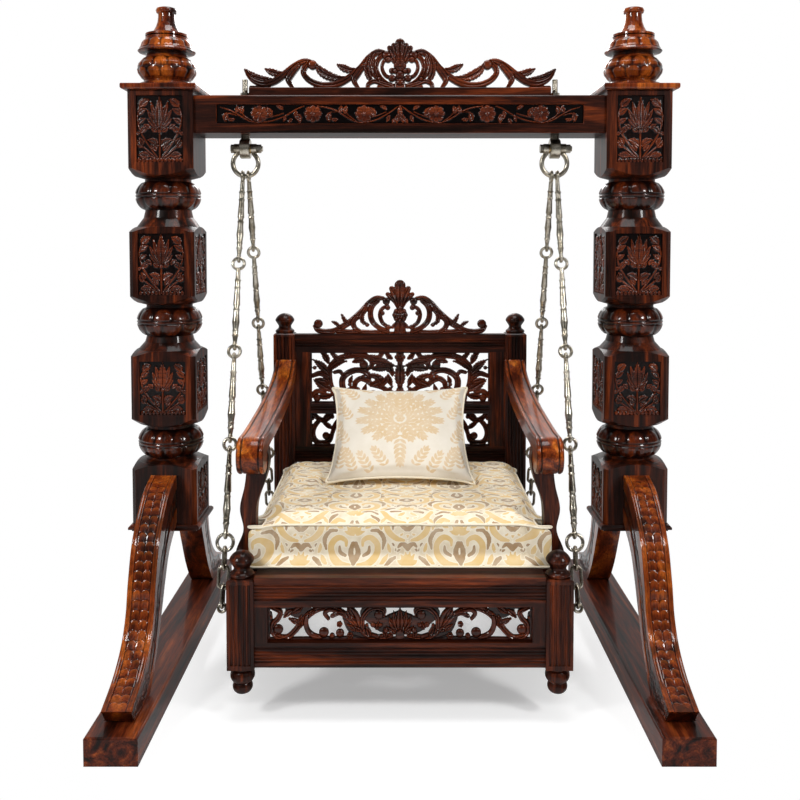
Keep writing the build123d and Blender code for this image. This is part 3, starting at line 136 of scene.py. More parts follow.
def blank(name: str) -> tuple[Material, bpy.types.NodeTree]:
    """Start a material, with its empty tree."""
    material = bpy.data.materials.new(name)
    material.use_nodes = True
    material.node_tree.nodes.clear()
    return material, material.node_tree


@dataclass(frozen=True)
class PolishedWood:
    """Sheesham, sawn and carved, stained dark and given a hard gloss polish by rubbing."""

    name: str
    grain: Grain
    deep: str = "#120502"
    body: str = "#341206"
    # the grain's honey bands, and the colour that crests lighten towards: wear with a painted highlight
    bright: str = "#7C3411"
    # near-black of the hollows: pooled staining with painted shade
    recess_stain_and_shade: str = "#040101"
    figure_mm: float = 46.0  # width of the broad light and dark bands of the heartwood
    streak_mm: float = 5.0  # width of the fine streaks
    pore_mm: float = 1.4  # open pores are about 0.3 mm, drawn coarser so that they show
    roughness: float = 0.42
    polish: float = 0.18

    def make(self) -> Material:
        """Build the material."""
        material, tree = blank(self.name)
        place = add(tree, "TexCoord").outputs["Object"]
        along = add(tree, "VectorMath", {0: place, 1: self.grain.value}, operation="MULTIPLY")
        # broad heartwood bands, honey where the stain took least
        figure = add(tree, "TexNoise", {"Vector": along, "Scale": 1 / (self.figure_mm * MM), "Detail": 4.0,
                                        "Roughness": 0.6, "Distortion": 1.1}).outputs["Fac"]
        bands = add(tree, "ValToRGB", {"Fac": figure},
                    [(0.36, self.deep), (0.74, self.bright), (0.52, self.body)]).outputs["Color"]
        streaks = add(tree, "TexNoise", {"Vector": along, "Scale": 1 / (self.streak_mm * MM), "Detail": 3.0,
                                         "Roughness": 0.65}).outputs["Fac"]
        depth = add(tree, "MapRange", {"Value": streaks, 1: 0.35, 2: 0.68, 3: 0.45, 4: 1.3})
        grain = add(tree, "VectorMath", {0: bands, 3: depth}, operation="SCALE")
        # recesses darken where the carver's staining pooled and with painted shade; crests lighten where the
        # polish wore and with a painted highlight
        shade_and_stain = add(tree, "Attribute", attribute_name=SHADE_AND_STAIN).outputs["Fac"]
        crest = add(tree, "MapRange", {"Value": shade_and_stain, 1: 0.0, 2: -1.0, 3: 0.0, 4: 0.55})
        worn_and_highlighted = add(tree, "Mix", {"Factor": crest, 6: grain, 7: linear(self.bright)}, data_type="RGBA")
        stained_and_shaded = add(tree, "Mix", {"Factor": shade_and_stain, 6: worn_and_highlighted.outputs[2], 7: linear(self.recess_stain_and_shade)},
                     data_type="RGBA", clamp_factor=True)
        gloss = add(tree, "MapRange", {"Value": streaks, 3: self.roughness - 0.06, 4: self.roughness + 0.1})
        pores = add(tree, "TexNoise", {"Vector": along, "Scale": 1 / (self.pore_mm * MM), "Detail": 2.0})
        bump = add(tree, "Bump", {"Height": pores.outputs["Fac"], "Strength": 0.25, "Distance": 0.15 * MM})
        shader = add(tree, "BsdfPrincipled", {
            "Base Color": stained_and_shaded.outputs[2], "Roughness": gloss, "Normal": bump,
            "IOR": 1.5, "Specular IOR Level": 0.1, "Coat Weight": self.polish, "Coat Roughness": 0.08})
        add(tree, "OutputMaterial", {"Surface": shader})
        return material


@dataclass(frozen=True)
class NickelPlate:
    """Cast and turned steel, satin nickel plated: a pale warm grey, duller where hands don't reach."""

    name: str
    bright: str = "#C0B9AB"
    dull: str = "#8C8373"
    patch_mm: float = 22.0
    scratch_mm: float = 1.2  # brushing marks are finer, drawn coarser so that they show
    roughness: float = 0.26

    def make(self) -> Material:
        """Build the material."""
        material, tree = blank(self.name)
        place = add(tree, "TexCoord").outputs["Object"]
        patches = add(tree, "TexNoise", {"Vector": place, "Scale": 1 / (self.patch_mm * MM), "Detail": 4.0})
        tint = add(tree, "ValToRGB", {"Fac": patches.outputs["Fac"]}, [(0.38, self.dull), (0.6, self.bright)])
        brushing = add(tree, "TexNoise", {"Vector": place, "Scale": 1 / (self.scratch_mm * MM),
                                          "Detail": 2.0})
        gloss = add(tree, "MapRange", {"Value": brushing.outputs["Fac"], 3: self.roughness - 0.08,
                                       4: self.roughness + 0.14})
        bump = add(tree, "Bump", {"Height": brushing.outputs["Fac"], "Strength": 0.2, "Distance": 0.12 * MM})
        shader = add(tree, "BsdfPrincipled", {
            "Base Color": tint, "Metallic": 1.0, "Roughness": gloss,
            "Normal": bump})
        add(tree, "OutputMaterial", {"Surface": shader})
        return material


@dataclass(frozen=True)
class WovenCloth:
    """Figured furnishing cloth: leaves woven in two colours, each outlined by the pale ground."""

    name: str
    ground: str
    gold: str
    taupe: str
    outline: str
    edge_mm: float = 0.9  # softness of a leaf's edge
    outline_mm: float = 2.2  # width of the pale line round each leaf
    thread_mm: float = 1.6  # threads are 0.5 mm apart, drawn coarser so that they show
    sheen: float = 0.25

    def make(self) -> Material:
        """Build the material."""
        material, tree = blank(self.name)
        place = add(tree, "TexCoord").outputs["Object"]
        cloud = add(tree, "TexNoise", {"Vector": place, "Scale": 30.0, "Detail": 3.0}).outputs["Fac"]
        colour = add(tree, "ValToRGB", {"Fac": cloud}, [(0.3, self.ground), (0.7, self.outline)])
        for attribute, code in ((GOLD, self.gold), (TAUPE, self.taupe)):
            inside = add(tree, "Attribute", attribute_name=attribute).outputs["Fac"]
            rim = add(tree, "MapRange", {"Value": inside, 1: -self.outline_mm,
                                         2: self.edge_mm - self.outline_mm})
            colour = add(tree, "Mix", {"Factor": rim, 6: colour, 7: linear(self.outline)},
                         data_type="RGBA").outputs[2]
            leaf = add(tree, "MapRange", {"Value": inside, 1: 0.0, 2: self.edge_mm})
            worn = add(tree, "MapRange", {"Value": cloud, 1: 0.3, 2: 0.7, 3: 0.72, 4: 1.0})
            amount = add(tree, "Math", {0: leaf, 1: worn}, operation="MULTIPLY")
            colour = add(tree, "Mix", {"Factor": amount, 6: colour, 7: linear(code)},
                         data_type="RGBA").outputs[2]
        weave = add(tree, "TexVoronoi", {"Vector": place, "Scale": 1 / (self.thread_mm * MM)})
        bump = add(tree, "Bump", {"Height": weave, "Strength": 0.25, "Distance": 0.2 * MM})
        shader = add(tree, "BsdfPrincipled", {
            "Base Color": colour, "Roughness": 0.78, "Normal": bump, "Sheen Weight": self.sheen,
            "Sheen Roughness": 0.4, "Specular IOR Level": 0.3})
        add(tree, "OutputMaterial", {"Surface": shader})
        return material


def made(finish: PolishedWood | NickelPlate | WovenCloth) -> Material:
    """A field whose material is made along with the finishes."""
    return field(default_factory=finish.make)


@dataclass
class Finishes:
    """Every material of the swing, made once."""

    along_x: Material = made(PolishedWood("polished_sheesham_x", Grain.ALONG_X))
    along_y: Material = made(PolishedWood(
        "polished_sheesham_y", Grain.ALONG_Y, body="#541F0C", bright="#96481C"))
    along_z: Material = made(PolishedWood("polished_sheesham_z", Grain.ALONG_Z))
    carved: Material = made(PolishedWood(
        "carved_sheesham", Grain.ALONG_X, body="#47190A", figure_mm=60, roughness=0.34, polish=0.45))
    honey: Material = made(PolishedWood(
        "honey_sheesham_y", Grain.ALONG_Y, "#42170A", "#86390F", "#C86F20", roughness=0.3, polish=0.36))
    turned: Material = made(PolishedWood(
        "turned_sheesham", Grain.ALONG_Z, "#2A0D05", "#6E2A0C", "#B9601D", figure_mm=70, roughness=0.3,
        polish=0.6))
    bulb: Material = made(PolishedWood(
        "turned_dark_sheesham", Grain.ALONG_Z, "#140502", "#361206", "#7A310F", figure_mm=80, roughness=0.3,
        polish=0.5))
    nickel: Material = made(NickelPlate("satin_nickel_plate"))
    brass: Material = made(NickelPlate("bush_brass", "#C9A24E", "#8A6A2C", roughness=0.32))
    ply: Material = made(PolishedWood(
        "stained_deck_board", Grain.ALONG_X, "#120503", "#2A0F07", "#4A2010", roughness=0.6, polish=0.0))
    jacquard: Material = made(WovenCloth(
        "jacquard_cloth", "#DDCDB0", "#DFBE80", "#A78863", "#EFE6D3", edge_mm=0.8, outline_mm=1.5))
    damask: Material = made(WovenCloth(
        "damask_cloth", "#E3DACA", "#DABF97", "#D6B987", "#E9E1D3", edge_mm=1.6, outline_mm=0.8))
    cord: Material = made(WovenCloth("piping_cloth", "#E6D8BC", "#E6D8BC", "#E6D8BC", "#EADFC8"))


# ---------------- carving
def travelled(path: Array) -> Array:
    """How far along a path in a plane each of its points lies."""
    return np.concatenate([[0], np.cumsum(np.hypot(*np.diff(path, axis=0).T))])


@dataclass(frozen=True)
class Ribbon:
    """A gouge-cut stroke of a carving along points of (across, up, width)."""

    points: tuple[Triple, ...]
    section: Section = ROUND
    rise: float = 1.0  # share of the carving's full height
    tooth: float = 0.0  # length of a leaf edge's teeth, or 0 for a smooth edge

    def sampled(self, step: float = 1.0) -> Array:
        """Even samples of (across, up, half width) along a smooth curve through the points."""
        points = np.array(self.points, float)
        if len(points) == 2:
            path = points[0] + np.linspace(0, 1, 24)[:, None] * (points[1] - points[0])
        else:
            ends = np.vstack([2 * points[0] - points[1], points, 2 * points[-1] - points[-2]])
            t = np.linspace(0, 1, 12, endpoint=False)[:, None]
            spans = []
            for a, b, c, d in zip(ends, ends[1:], ends[2:], ends[3:]):
                spans.append(0.5 * (2 * b + (c - a) * t + (2 * a - 5 * b + 4 * c - d) * t**2
                                    + (3 * b - a - 3 * c + d) * t**3))
            path = np.vstack([*spans, points[-1:]])
        reach = travelled(path[:, :2])
        even = np.linspace(0, reach[-1], max(6, int(reach[-1] / step)))
        return np.stack([np.interp(even, reach, path[:, 0]), np.interp(even, reach, path[:, 1]),
                         np.interp(even, reach, path[:, 2]) / 2], axis=1)

    def mirrored(self) -> "Ribbon":
        """The same stroke on the other side of the middle line."""
        return replace(self, points=tuple((-x, y, width) for x, y, width in self.points))

    def bolder(self, extra: float) -> "Ribbon":
        """The same stroke, broader by some millimetres."""
        return replace(self, points=tuple((x, y, width + extra) for x, y, width in self.points))

    def measure(self, x: Array, y: Array) -> tuple[Array, Array, Array]:
        """Measure points against the stroke.

        Args:
            x: Places across, in millimetres.
            y: Places up, in millimetres.

        Returns:
            How far each point is inside the edge, its place across the stroke from -1 to 1, and along it.
        """
        path = self.sampled()
        away_x = x[:, None] - path[None, :, 0]
        away_y = y[:, None] - path[None, :, 1]
        nearest = np.argmin(away_x**2 + away_y**2 - 0.15 * path[None, :, 2] ** 2, axis=1)
        rows = np.arange(len(x))
        dx, dy = away_x[rows, nearest], away_y[rows, nearest]
        heading = np.gradient(path[:, :2], axis=0)
        heading /= np.maximum(np.hypot(*heading.T), 1e-9)[:, None]
        half = np.maximum(path[nearest, 2], 0.4)
        distance = np.hypot(dx, dy)
        side = np.sign(heading[nearest, 0] * dy - heading[nearest, 1] * dx)
        return half - distance, np.clip(side * distance / half, -1, 1), nearest.astype(float)

    def cut(self, x: Array, y: Array) -> tuple[Array, Array]:
        """How far each point is inside the stroke, in millimetres, and how high it stands, as a share."""
        inside, across, along = self.measure(x, y)
        edge = np.abs(across)
        if self.tooth:
            bite = np.mod(along / self.tooth - 0.6 * edge, 1.0)
            inside = inside - 0.2 * np.maximum(inside.max(), 2.0) * (1 - bite) ** 2
        dome = np.sqrt(np.clip(1 - edge**2, 0, 1))
        if self.section is ROUND:
            high = dome
        elif self.section is GROOVED:
            high = dome**0.6 * (1 - 0.5 * np.exp(-(across / 0.22) ** 2))
        elif self.section is LEAF:
            veins = 0.12 * np.sin(2 * math.pi * (along / 5.0 - edge))
            high = np.clip(1 - edge**4, 0, 1) ** 0.5 * (0.62 + 0.38 * edge + veins)
            high = high - 0.45 * np.exp(-(across / 0.13) ** 2)
        else:
            high = np.clip((1 - edge) * 5, 0, 1)
        return inside, np.clip(high, 0.02, 1.2) * self.rise


def leaf(x: float, y: float, length: float, width: float, angle: float, bend: float = 0.0,
         tooth: float = 0.0, section: Section = LEAF, rise: float = 1.0) -> Ribbon:
    """A pointed leaf from its stalk.

    Args:
        x: Stalk, across.
        y: Stalk, up.
        length: From stalk to tip.
        width: At its broadest.
        angle: Heading at the stalk in degrees, counted from across to up.
        bend: Degrees that it curls by its tip.
        tooth: Length of its edge's teeth.
        section: Its cross-section.
        rise: Share of the full height.

    Returns:
        The stroke.
    """
    count = 7
    points = []
    for step in range(count):
        share = step / (count - 1)
        broad = math.sin(math.pi * min(1.0, 0.08 + 0.92 * share) ** 0.85)
        points.append((x, y, max(1.2, width * broad)))
        turn = math.radians(angle + bend * share)
        x += math.cos(turn) * length / (count - 1)
        y += math.sin(turn) * length / (count - 1)
    return Ribbon(tuple(points), section, rise, tooth)


@dataclass(frozen=True)
class Knob:
    """A ball, or a flower if it has petals, seen face on."""

    x: float
    y: float
    radius: float
    petals: int = 0
    rise: float = 1.0

    def mirrored(self) -> "Knob":
        """The same knob on the other side of the middle line."""
        return replace(self, x=-self.x)

    def cut(self, x: Array, y: Array) -> tuple[Array, Array]:
        """How far each point is inside the knob, in millimetres, and how high it stands, as a share."""
        dx, dy = x - self.x, y - self.y
        distance = np.hypot(dx, dy)
        if not self.petals:
            ball = np.sqrt(np.clip(1 - (distance / self.radius) ** 2, 0, 1))
            return self.radius - distance, ball * self.rise
        lobe = np.abs(np.cos(self.petals / 2 * np.arctan2(dy, dx)))
        edge = self.radius * (0.8 + 0.2 * lobe**0.5)
        share = distance / edge
        cup = (0.35 + 0.65 * share**1.5) * np.clip((1 - share) * 6, 0, 1) ** 0.5 * (0.45 + 0.55 * lobe**0.7)
        boss = np.sqrt(np.clip(1 - (distance / (0.24 * self.radius)) ** 2, 0, 1))
        return edge - distance, np.maximum(cup, boss) * self.rise


Mark = Ribbon | Knob


def marks(kind: Callable[..., Mark], *rows: tuple) -> list[Mark]:
    """Marks of one kind, in order, each from the row of its values."""
    return [kind(*row) for row in rows]


class Carving:
    """A carved face: for each point of a grid, how far inside the wood it is and how high it stands."""

    def __init__(self, low: Pair, high: Pair, pitch: float, height: float = 1.0, solid: bool = False,
                 bold: float = 0.0) -> None:
        """Start an uncarved face.

        Args:
            low: Left and lower edge, in millimetres.
            high: Right and upper edge.
            pitch: Distance between the grid's points.
            height: How high its highest marks stand.
            solid: Whether the ground behind the marks is wood, or open.
            bold: How much broader every mark is cut.
        """
        columns = max(3, round((high[0] - low[0]) / pitch) + 1)
        rows = max(3, round((high[1] - low[1]) / pitch) + 1)
        self.across = np.linspace(low[0], high[0], columns)
        self.up = np.linspace(low[1], high[1], rows)
        self.pitch, self.height, self.bold = pitch, height, bold
        self.x, self.y = np.meshgrid(self.across, self.up)
        self.inside = np.full(self.x.shape, 99.0 if solid else -99.0)
        self.rise = np.zeros(self.x.shape)

    def add(self, mark: Mark) -> None:
        """Carve one mark over what is there, with a narrow groove round it."""
        if isinstance(mark, Ribbon):
            mark = mark.bolder(self.bold)
            spots = np.array(mark.points)
            reach = spots[:, 2].max() / 2 + 4
            left, right = spots[:, 0].min() - reach, spots[:, 0].max() + reach
            low, high = spots[:, 1].min() - reach, spots[:, 1].max() + reach
        else:
            left, right = mark.x - mark.radius - 4, mark.x + mark.radius + 4
            low, high = mark.y - mark.radius - 4, mark.y + mark.radius + 4
        window = (self.x >= left) & (self.x <= right) & (self.y >= low) & (self.y <= high)
        if not window.any():
            return
        inside, share = mark.cut(self.x[window], self.y[window])
        rise = self.rise[window]
        groove = np.clip((inside + 1.6) / 1.6, 0, 1)
        rise = np.where(inside > 0, np.maximum(share * self.height, 0.3 * rise), rise * (1 - 0.75 * groove))
        self.rise[window] = rise
        self.inside[window] = np.maximum(self.inside[window], inside)

    def add_all(self, wanted: Sequence[Mark], mirror: bool = True) -> None:
        """Carve marks in order, each with its mirror image unless that is switched off."""
        for mark in wanted:
            self.add(mark)
            if mirror:
                self.add(mark.mirrored())

    def frame(self, width: float, height: float) -> None:
        """Leave a flat border inside the face's edge."""
        edge = np.minimum.reduce([self.x - self.across[0], self.across[-1] - self.x,
                                  self.y - self.up[0], self.up[-1] - self.y])
        border = width - edge
        self.rise = np.where(border > 0, height, self.rise)
        self.inside = np.maximum(self.inside, border)

    def stain_and_shading(self) -> Array:
        """Staining with painted shade (to 1), or wear with a painted highlight (to -1), at each point, from
        its height and hollowness.
        """
        smooth = self.rise.copy()
        for _ in range(2):
            padded = np.pad(smooth, 1, mode="edge")
            smooth = (padded[:-2, 1:-1] + padded[2:, 1:-1] + padded[1:-1, :-2] + padded[1:-1, 2:]) / 4
        # painted shade in the hollows and on the low ground, with the staining that pools there
        hollow = (smooth - self.rise) / self.height
        low = np.clip(1 - 2.2 * self.rise / self.height, 0, 1)
        return np.clip(low + 3.0 * hollow, -1, 1)

    def sample(self, x: Array, y: Array) -> tuple[Array, Array]:
        """Read the carving between its grid points.

        Args:
            x: Places across.
            y: Places up.

        Returns:
            How far inside, and how high, at each place.
        """
        step_x, step_y = self.across[1] - self.across[0], self.up[1] - self.up[0]
        column = np.clip((x - self.across[0]) / step_x, 0, len(self.across) - 1.001)
        row = np.clip((y - self.up[0]) / step_y, 0, len(self.up) - 1.001)
        i, j = column.astype(int), row.astype(int)
        u, v = column - i, row - j
        read = []
        for grid in (self.inside, self.rise):
            read.append(grid[j, i] * (1 - u) * (1 - v) + grid[j, i + 1] * u * (1 - v)
                        + grid[j + 1, i] * (1 - u) * v + grid[j + 1, i + 1] * u * v)
        return read[0], read[1]


@dataclass(frozen=True)
class Face:
    """Where a flat carving goes: an origin in millimetres and three directions."""

    origin: Triple
    across: Triple = (1.0, 0.0, 0.0)
    up: Triple = (0.0, 0.0, 1.0)
    outward: Triple = (0.0, -1.0, 0.0)

    def place(self, x: Array, y: Array, z: Array) -> Array:
        """Turn places on the face into points of the frame, in metres."""
        return (np.array(self.origin) + x[:, None] * np.array(self.across) + y[:, None] * np.array(self.up)
                + z[:, None] * np.array(self.outward)) * MM


# ---------------- meshes
def build(name: str, points: Array, faces: list[tuple[int, ...]], material: Material,
          shade_and_stain: Array | None = None, sharp: float = 50.0) -> Piece:
    """Make an object from points and faces.

    Args:
        name: The piece's name.
        points: Its vertices, in metres.
        faces: Vertex numbers of each face.
        material: Its finish.
        shade_and_stain: Darkening of each vertex by staining and painted shade, where it is carved.
        sharp: Angle over which an edge stays crisp, in degrees.

    Returns:
        The object, linked to the scene.
    """
    mesh = bpy.data.meshes.new(name)
    mesh.from_pydata(points.tolist(), [], faces)
    mesh.validate()
    mesh.polygons.foreach_set("use_smooth", [True] * len(mesh.polygons))
    mesh.set_sharp_from_angle(angle=math.radians(sharp))
    if shade_and_stain is not None and len(shade_and_stain) == len(mesh.vertices):
        mesh.attributes.new(SHADE_AND_STAIN, "FLOAT", "POINT").data.foreach_set("value", shade_and_stain.astype(np.float32))
    mesh.materials.append(material)
    piece = bpy.data.objects.new(name, mesh)
    bpy.context.scene.collection.objects.link(piece)
    return piece


def board(carving: Carving, face: Face, thickness: float) -> Mesh:
    """Turn a carving into a closed board, carved on both faces, whose openings follow its outlines.

    Args:
        carving: The carved face.
        face: Where its ground plane lies.
        thickness: Between the two ground planes.

    Returns:
        Its mesh.
    """
    inside, pitch = carving.inside, carving.pitch
    slope_y, slope_x = np.gradient(inside, carving.up, carving.across)
    steep = np.maximum(slope_x**2 + slope_y**2, 0.3)
    near = (inside > -0.75 * pitch) & (inside < 0.3 * pitch)
    x = carving.x - np.where(near, inside * slope_x / steep, 0)
    y = carving.y - np.where(near, inside * slope_y / steep, 0)
    solid = inside > -0.75 * pitch
    keep = solid[:-1, :-1] & solid[1:, :-1] & solid[:-1, 1:] & solid[1:, 1:]
    core = inside > 0.3 * pitch
    keep &= core[:-1, :-1] | core[1:, :-1] | core[:-1, 1:] | core[1:, 1:]
    padded = np.pad(keep, 1)
    used = padded[:-1, :-1] | padded[1:, :-1] | padded[:-1, 1:] | padded[1:, 1:]
    number = np.full(inside.shape, -1)
    number[used] = np.arange(used.sum())
    count = int(used.sum())
    front = face.place(x[used], y[used], carving.rise[used])
    rear = face.place(x[used], y[used], -thickness - carving.rise[used])
    a, b = number[:-1, :-1][keep], number[:-1, 1:][keep]
    c, d = number[1:, 1:][keep], number[1:, :-1][keep]
    walls = []
    for shift_row, shift_column, start, end in ((-1, 0, (0, 0), (0, 1)), (1, 0, (1, 1), (1, 0)),
                                                (0, -1, (1, 0), (0, 0)), (0, 1, (0, 1), (1, 1))):
        beside = padded[1 + shift_row:1 + shift_row + keep.shape[0],
                        1 + shift_column:1 + shift_column + keep.shape[1]]
        j, i = np.nonzero(keep & ~beside)
        first, second = number[j + start[0], i + start[1]], number[j + end[0], i + end[1]]
        walls.append(np.stack([second, first, first + count, second + count], axis=1))
    quads = np.vstack([np.stack([a, b, c, d], axis=1), np.stack([d, c, b, a], axis=1) + count, *walls])
    stain_and_shading = carving.stain_and_shading()[used]
    return np.vstack([front, rear]), quads.tolist(), np.concatenate([stain_and_shading, stain_and_shading])


def sheet(shape: tuple[int, int]) -> tuple[Array, Array]:
    """The cells of a grid of points, and its edge once round, as the points' numbers."""
    number = np.arange(shape[0] * shape[1]).reshape(shape)
    cells = np.stack([number[:-1, :-1], number[:-1, 1:], number[1:, 1:], number[1:, :-1]], axis=2)
    edge = np.concatenate([number[0, :-1], number[:-1, -1], number[-1, :0:-1], number[:0:-1, 0]])
    return cells.reshape(-1, 4), edge


def tile(carving: Carving, face: Face, thickness: float) -> Mesh:
    """Turn a carving with a solid ground into a slab with a plain back.

    Args:
        carving: The carved face.
        face: Where its ground plane lies.
        thickness: From the ground plane to the back.

    Returns:
        Its mesh.
    """
    cells, ring = sheet(carving.x.shape)
    across, up = carving.x.ravel(), carving.y.ravel()
    front = face.place(across, up, carving.rise.ravel())
    rear = face.place(across[ring], up[ring], np.full(len(ring), -thickness))
    back = len(across) + np.arange(len(ring))
    sides = np.stack([np.roll(ring, -1), ring, back, np.roll(back, -1)], axis=1)
    faces = [*cells.tolist(), *sides.tolist(), back[::-1].tolist()]
    # the sides and back take a fixed darkening of staining and painted shade
    stain_and_shading = np.concatenate([carving.stain_and_shading().ravel(), np.full(len(ring), 0.3)])
    return np.vstack([front, rear]), faces, stain_and_shading


def gather(parts: Sequence[Mesh]) -> Mesh:
    """Join several meshes' points, faces and their darkening by staining and painted shade into one."""
    points, faces, all_stain_and_shading, base = [], [], [], 0
    for part_points, part_faces, part_stain_and_shading in parts:
        points.append(part_points)
        faces += [tuple(base + n for n in face) for face in part_faces]
        all_stain_and_shading.append(part_stain_and_shading)
        base += len(part_points)
    return np.vstack(points), faces, np.concatenate(all_stain_and_shading)


def lattice(rows: int, count: int, flip: bool = False, closed: bool = False) -> list[tuple[int, ...]]:
    """The faces between rings of points, and a cap at each end.

    Args:
        rows: How many rings there are.
        count: Points in each ring.
        flip: Whether the faces look the other way.
        closed: Whether the last ring meets the first, without caps.

    Returns:
        The points' numbers in each face.
    """
    faces = []
    for row in range(rows if closed else rows - 1):
        low, high = row * count, (row + 1) % rows * count
        for a in range(count):
            b = (a + 1) % count
            faces.append((low + a, high + a, high + b, low + b) if flip else
                         (low + a, low + b, high + b, high + a))
    if not closed:
        turn = 1 if flip else -1
        faces.append(tuple(range(count))[::turn])
        faces.append(tuple(range((rows - 1) * count, rows * count))[::-turn])
    return faces


def turned(outline: Sequence[Pair], centre: Pair, steps: int,
           carve: Callable[[Array, Array], tuple[Array, Array]] | None = None,
           step: float = 2.5) -> Mesh:
    """Turn an outline about an upright axis, with petals cut into it.

    Args:
        outline: (radius, height) points from the bottom to the top, in millimetres.
        centre: The axis, across and back.
        steps: Points round the axis.
        carve: Gives what is added to the radius, and the darkening by staining and painted shade, at an angle
            and a height.
        step: Distance between points along the outline.

    Returns:
        Its mesh.
    """
    path = np.array(outline, float)
    reach = travelled(path)
    even = np.unique(np.concatenate([reach, np.arange(0, reach[-1], step)]))
    radius, height = np.interp(even, reach, path[:, 0]), np.interp(even, reach, path[:, 1])
    angles = np.linspace(0, 2 * math.pi, steps, endpoint=False)
    turn, level = np.meshgrid(angles, height)
    out = np.repeat(radius[:, None], steps, axis=1)
    stain_and_shading = np.zeros(out.shape)
    if carve:
        extra, stain_and_shading = carve(turn, level)
        out = np.where(out > 1.0, out + extra, out)
    points = np.stack([centre[0] + out * np.cos(turn), centre[1] + out * np.sin(turn), level], axis=2)
    return points.reshape(-1, 3) * MM, lattice(len(height), steps), stain_and_shading.ravel()


def smooth(points: Sequence[Pair], step: float) -> Array:
    """Even points, a step apart, along a smooth curve through a few."""
    return Ribbon(tuple((x, y, 1.0) for x, y in points)).sampled(step)[:, :2]


def show(name: str, parts: Sequence[Mesh], material: Material, body: Body,
         nodes: Sequence[str] = (), sharp: float = 50.0) -> Piece:
    """Build a carved piece and hang it on its body.

    Args:
        name: The piece's name.
        parts: Its meshes.
        material: Its finish.
        body: What it moves with.
        nodes: The frame's nodes that it stands for.
        sharp: Angle over which an edge stays crisp.

    Returns:
        The piece.
    """
    points, faces, stain_and_shading = gather(parts)
    piece = build(name, points, faces, material, stain_and_shading, sharp)
    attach(piece, body.value)
    if nodes:
        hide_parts(*nodes)
    LOG.info("%s: %d points", name, len(points))
    return piece


def dress(material: Material, *nodes: str) -> None:
    """Give nodes of the frame that stay as they are their finish."""
    for name in nodes:
        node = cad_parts[name]
        node.data.materials.clear()
        node.data.materials.append(material)


def hands() -> Iterator[tuple[int, str]]:
    """The left and the right side, each with its sign."""
    yield -1, "left"
    yield 1, "right"


